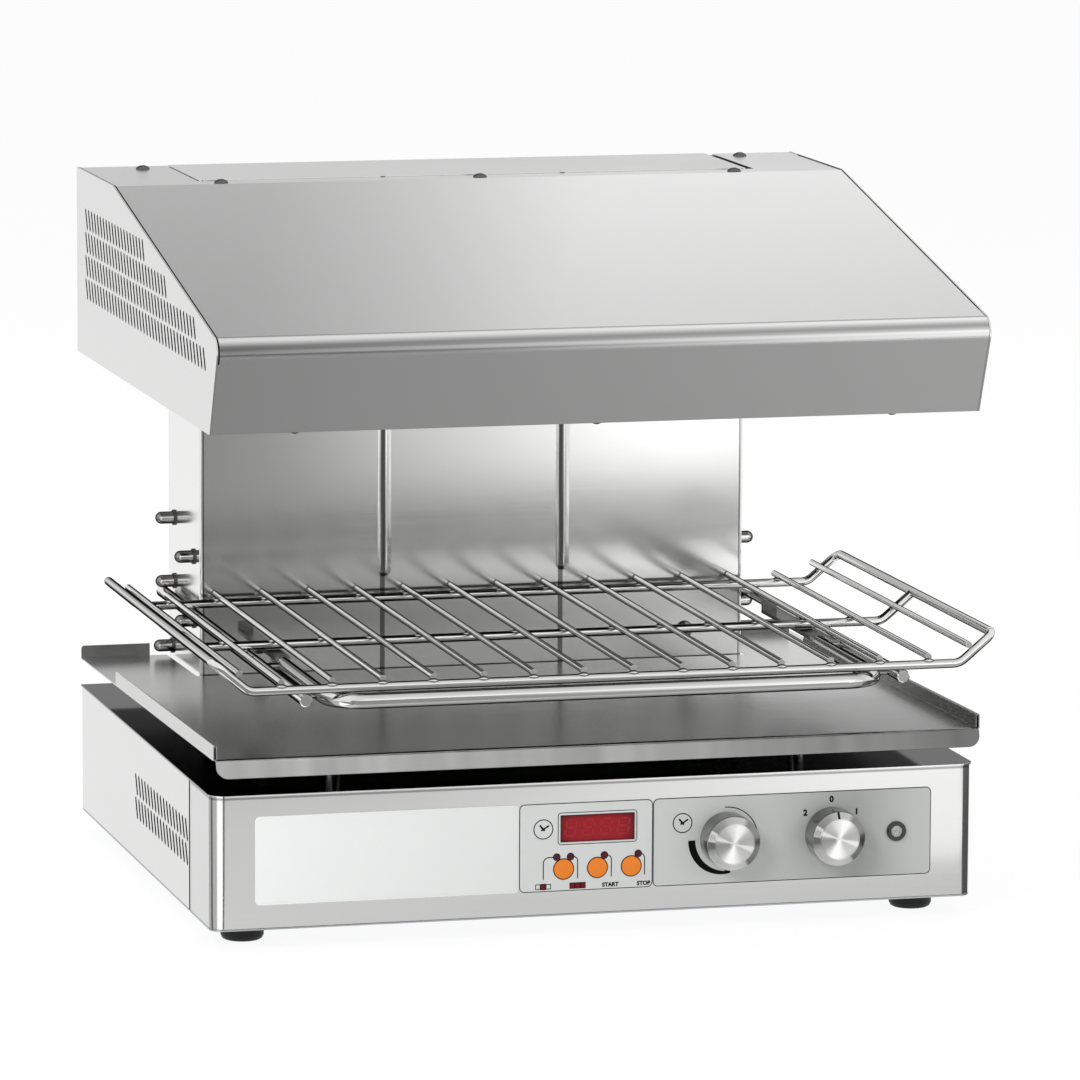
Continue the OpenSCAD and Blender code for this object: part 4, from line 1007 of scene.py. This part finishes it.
# %% [markdown]
# The timer's scale is a black band that starts thick at nine o'clock and thins towards the
# foot of the dial, then runs on as a hairline. A circle inside a larger one, off its
# middle, leaves just such a crescent between them.

# %% Timer scale
def crescent(x, z, radius, shift_x, shift_z, inner, cuts):
    clear_selection()
    centre = on_film(x + shift_x, z + shift_z)
    bpy.ops.mesh.primitive_circle_add(vertices=160, radius=radius * MM, fill_type="NOTHING",
                                      location=centre, rotation=(UPRIGHT, 0, 0))
    make_real()
    piece = bpy.context.object
    edit()
    bpy.ops.mesh.extrude_edges_move()
    bpy.ops.transform.resize(value=(inner / radius,) * 3, center_override=centre)
    bpy.ops.transform.translate(value=(-shift_x * MM, 0, -shift_z * MM))
    for place, normal in cuts:
        cut_away(place, normal)
    thicken()
    return piece


thick_band = crescent(*TIMER_AXIS, 26.9, -3.6, -0.5, 24.9,
                      cuts=[((0, 0, 69.4), (0, 0, 1)), ((105, 0, 0), (1, 0, 0))])
thin_band = ring(*TIMER_AXIS, 25.0, 0.8, sides=128, cuts=[((100.4, 0, 0), (-1, 0, 0))])
print("timer scale:", len(thick_band.data.polygons))

# %% [markdown]
# The four digits of the clock are unlit, so they barely show: slanted eights, a shade
# lighter than the red window. Each is seven bars with rounded corners.

# %% Unlit digits
def bar(x, z, dx, dz, width):
    piece = stroke(x, z, dx, dz, width)
    round_corners(0.4)
    thicken()
    return piece


def digit(x, z, height=12.0, width=7.8, thick=1.5, slant=math.radians(8)):
    """Three level bars, then four that lean with the digit."""
    lean, half = math.tan(slant), (height / 2 - thick) / 2
    bars = [bar(x + rise * lean, z + rise, (width - thick) / 2, 0, thick)
            for rise in (-height / 2, 0, height / 2)]
    for rise in (-height / 4, height / 4):
        for side in (-width / 2, width / 2):
            bars.append(bar(x + side + rise * lean, z + rise, half * math.sin(slant),
                            half * math.cos(slant), thick))
    return bars


FIRST_DIGIT_X, DIGIT_PITCH, DIGITS_Z = -20.9, 13.8, 83.6
digits = [piece for i in range(4) for piece in digit(FIRST_DIGIT_X + i * DIGIT_PITCH, DIGITS_Z)]
print("bars:", len(digits))

# %% Coloured marks
def solid_plate(name, x0, x1, z0, z1, radius=0.2, depth=INK):
    plate = start_plate(name, x0, x1, z0, z1)
    round_corners(radius)
    thicken(depth)
    return plate


red_boxes = [solid_plate("box", x, x + 3.3, 37.0, 40.7) for x in (-44.2, -21.5, -17.25, -13.0)]
backing = [solid_plate("backing", x0, x1, 36.4, 41.3, 0.3, INK * 0.5)
           for x0, x1 in ((-44.75, -40.25), (-22.0, -9.2))]
lamp_rims = backing + [ring(x, LAMPS_Z, 3.0, 0.62, depth=0.12 * MM, sides=40) for x in LAMPS_X]
button_rings = [ring(*middle(node), 8.3, 0.8)
                for node in ("button_zone", "button_start", "button_stop")]
print("coloured marks:", len(red_boxes), len(lamp_rims), len(button_rings))

# %% [markdown]
# The switch's pointer is a short black bar on the cone round the knob's face. It leans back
# with the cone, and it rides on the knob, so it turns with it.

# %% Pointer on the switch knob
POINTER_AT = (184.75 * MM, -256.2 * MM, 87.75 * MM)
POINTER_WIDE, POINTER_LONG = 1.6 * MM, 5.9 * MM
CONE_SLOPE = math.radians(59)
clear_selection()
bpy.ops.mesh.primitive_plane_add(size=1, location=POINTER_AT,
                                 rotation=(CONE_SLOPE, math.radians(-2.5), 0))
pointer = bpy.context.object
pointer.name = "switch_pointer"
pointer.scale = (POINTER_WIDE, POINTER_LONG, 1)
make_real()
round_corners(0.3)
edit()
extrude(-0.18 * MM, 0.11 * MM)
close_mesh()
print("pointer:", len(pointer.data.vertices))

# %% Dress the marks
def ink(name, dark, light, shine=0.1):
    return speckled(name, dark, light, 2400.0, 0.6, shine=shine)


ink_grey = ink("grey ink", (0.016, 0.018, 0.017), (0.028, 0.03, 0.029))
ink_black = ink("black ink", (0.002, 0.002, 0.002), (0.006, 0.006, 0.006), shine=0.05)
ink_red = ink("red ink", (0.13, 0.006, 0.014), (0.17, 0.010, 0.02))
ink_maroon = ink("maroon ink", (0.016, 0.002, 0.004), (0.026, 0.004, 0.006))
ink_brown = ink("brown ink", (0.012, 0.008, 0.006), (0.02, 0.013, 0.01))
unlit = speckled("unlit bar", (0.32, 0.016, 0.024), (0.37, 0.022, 0.03), 1200.0, 0.4, shine=0.1)
black_marks = hands + words + clock_rims + [thick_band, thin_band]
own(join("printed_lines", lines), ink_grey, "base")
own(join("printed_black", black_marks), ink_black, "base")
own(join("printed_red", red_boxes), ink_red, "base")
own(join("lamp_rims", lamp_rims), ink_maroon, "base")
own(join("button_rings", button_rings), ink_brown, "base")
own(join("clock_digits", digits), unlit, "base")
own(pointer, ink_black, "selector")

# %% [markdown]
# ## The painted shadow along the left side panel
# The left side panel stands a little proud of the folded cover, and a thin black strip, a
# painted shadow, fills the joint. It follows the profile of the hood: one short edge is extruded
# along the top and down the slope, spun round the nose, and ends just past it on the front.

# %% Painted gap shadow
# In millimetres; NOSE, the two normals and PAST_NOSE are (Y, Z)
cover_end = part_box("hood_cover")[1]
GAP_SHADOW_X = (-298.75, -297.45)
TOP_Z = cover_end[2] / MM + 0.3
TOP_REAR_Y, TOP_FRONT_Y = cover_end[1] / MM, 125.97
FIRST_PIECE = 8.0
NOSE = (-247.30, 455.45)
NOSE_RADIUS = 12.7
SLOPE_NORMAL = (-0.19168, 0.98146)
FRONT_NORMAL = (-0.91644, -0.40016)
PAST_NOSE = (0.951, -2.178)


def extrude_edge(dy, dz):
    extrude(dy * MM, dz * MM)


clear_selection()
gap_shadow_at = (sum(GAP_SHADOW_X) / 2 * MM, (TOP_REAR_Y - FIRST_PIECE / 2) * MM, TOP_Z * MM)
bpy.ops.mesh.primitive_plane_add(size=1, location=gap_shadow_at)
gap_shadow = bpy.context.object
gap_shadow.name = "side_gap_shadow"
gap_shadow.scale = ((GAP_SHADOW_X[1] - GAP_SHADOW_X[0]) * MM, FIRST_PIECE * MM, 1)
make_real()
bpy.ops.object.mode_set(mode="EDIT")
bpy.ops.mesh.select_mode(type="VERT")
bpy.ops.mesh.select_all(action="DESELECT")
bpy.ops.object.mode_set(mode="OBJECT")
for vertex in gap_shadow.data.vertices:
    vertex.select = vertex.co.y < gap_shadow_at[1]
bpy.ops.object.mode_set(mode="EDIT")
bpy.ops.mesh.select_mode(type="EDGE")
extrude_edge(TOP_FRONT_Y - (TOP_REAR_Y - FIRST_PIECE), 0)
nose_start = [c + n * NOSE_RADIUS for c, n in zip(NOSE, SLOPE_NORMAL)]
extrude_edge(nose_start[0] - TOP_FRONT_Y, nose_start[1] - TOP_Z)
turn = math.acos(sum(a * b for a, b in zip(SLOPE_NORMAL, FRONT_NORMAL)))
bpy.ops.mesh.spin(steps=10, angle=turn, center=(0, NOSE[0] * MM, NOSE[1] * MM), axis=(-1, 0, 0))
extrude_edge(*PAST_NOSE)
close_mesh()
wall = gap_shadow.modifiers.new("wall", "SOLIDIFY")
wall.thickness = 0.5 * MM
wall.offset = -1
bpy.ops.object.modifier_apply(modifier="wall")
own(gap_shadow, ink_black, "base")
spans = [[v.co[i] / MM for v in gap_shadow.data.vertices] for i in range(3)]
print("seal from", [round(min(s), 1) for s in spans], "to", [round(max(s), 1) for s in spans])

# %% [markdown]
# ## The lamp's jewel
# The lamp has a small faceted lens in a black ring. An eight-sided disc is raised, then inset
# in three steps, two further out and the last one sunk. It is left flat-shaded, so that each
# facet catches the light on its own.

# %% Lamp jewel
JEWEL_RADIUS = 4.7 * MM
jewel_x, jewel_z = middle("lamp_bezel")
clear_selection()
bpy.ops.mesh.primitive_circle_add(vertices=8, radius=JEWEL_RADIUS, fill_type="NGON",
                                  location=(jewel_x * MM, FILM_Y - 0.3 * MM, jewel_z * MM),
                                  rotation=(UPRIGHT, 0.3, 0))
make_real()
jewel = bpy.context.object
jewel.name = "lamp_jewel"
edit()
extrude(-1.6 * MM, 0)
for rise, inset in ((0.9, 1.1), (0.7, 1.5), (-0.5, 0.8)):
    bpy.ops.mesh.inset(thickness=inset * MM, depth=rise * MM)
close_mesh()
own(jewel, bpy.data.materials["clear lens"], "base")
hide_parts("lamp_lens")
print("jewel reaches y:", round(min(v.co.y for v in jewel.data.vertices) / MM, 2))

# %% [markdown]
# ## Welds
# Where a wire crosses a rail the two are spot-welded, and the metal flows into a small
# collar round the contact. One is modelled from a sphere, flattened, with its lower half
# spread along the rail, and copied to every crossing.

# %% Welds
FRONT_RAIL_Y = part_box("rack_wires")[0][1] / MM
MIDDLE_RAIL_Y = sum(corner[1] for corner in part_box("rack_centre_rail")) / 2 / MM
RAILS_Y = (FRONT_RAIL_Y, MIDDLE_RAIL_Y, 2 * MIDDLE_RAIL_Y - FRONT_RAIL_Y)
FIRST_WIRE_X, WIRE_PITCH, WIRES = -252.2, 38.8, 14
WELD_Z = 206.7
WELD_SIZE = (0.0033, 0.0036, 0.0018)
clear_selection()
bpy.ops.mesh.primitive_uv_sphere_add(segments=12, ring_count=6, radius=1)
weld = bpy.context.object
weld.name = "rack_welds"
edit("DESELECT")
bpy.ops.object.mode_set(mode="OBJECT")
for polygon in weld.data.polygons:
    polygon.select = polygon.center.z < 0
bpy.ops.object.mode_set(mode="EDIT")
bpy.ops.mesh.select_mode(type="FACE")
bpy.ops.transform.resize(value=(1.45, 1.1, 1.0), center_override=(0, 0, 0))
bpy.ops.mesh.select_all(action="SELECT")
bpy.ops.transform.resize(value=WELD_SIZE, center_override=(0, 0, 0))
bpy.ops.object.mode_set(mode="OBJECT")
bpy.ops.object.shade_smooth()
blobs = []
for i in range(WIRES):
    for y in RAILS_Y:
        at = Vector((FIRST_WIRE_X + WIRE_PITCH * i, y, WELD_Z)) * MM
        blob = weld.copy()
        blob.data = weld.data.copy()
        bpy.context.collection.objects.link(blob)
        blob.data.transform(Matrix.Translation(at))
        blobs.append(blob)
bpy.data.objects.remove(weld)
own(join("rack_welds", blobs), bpy.data.materials["drawn rail"], "rack")
print("welds:", len(blobs), "on rails at y:", [round(y, 2) for y in RAILS_Y])
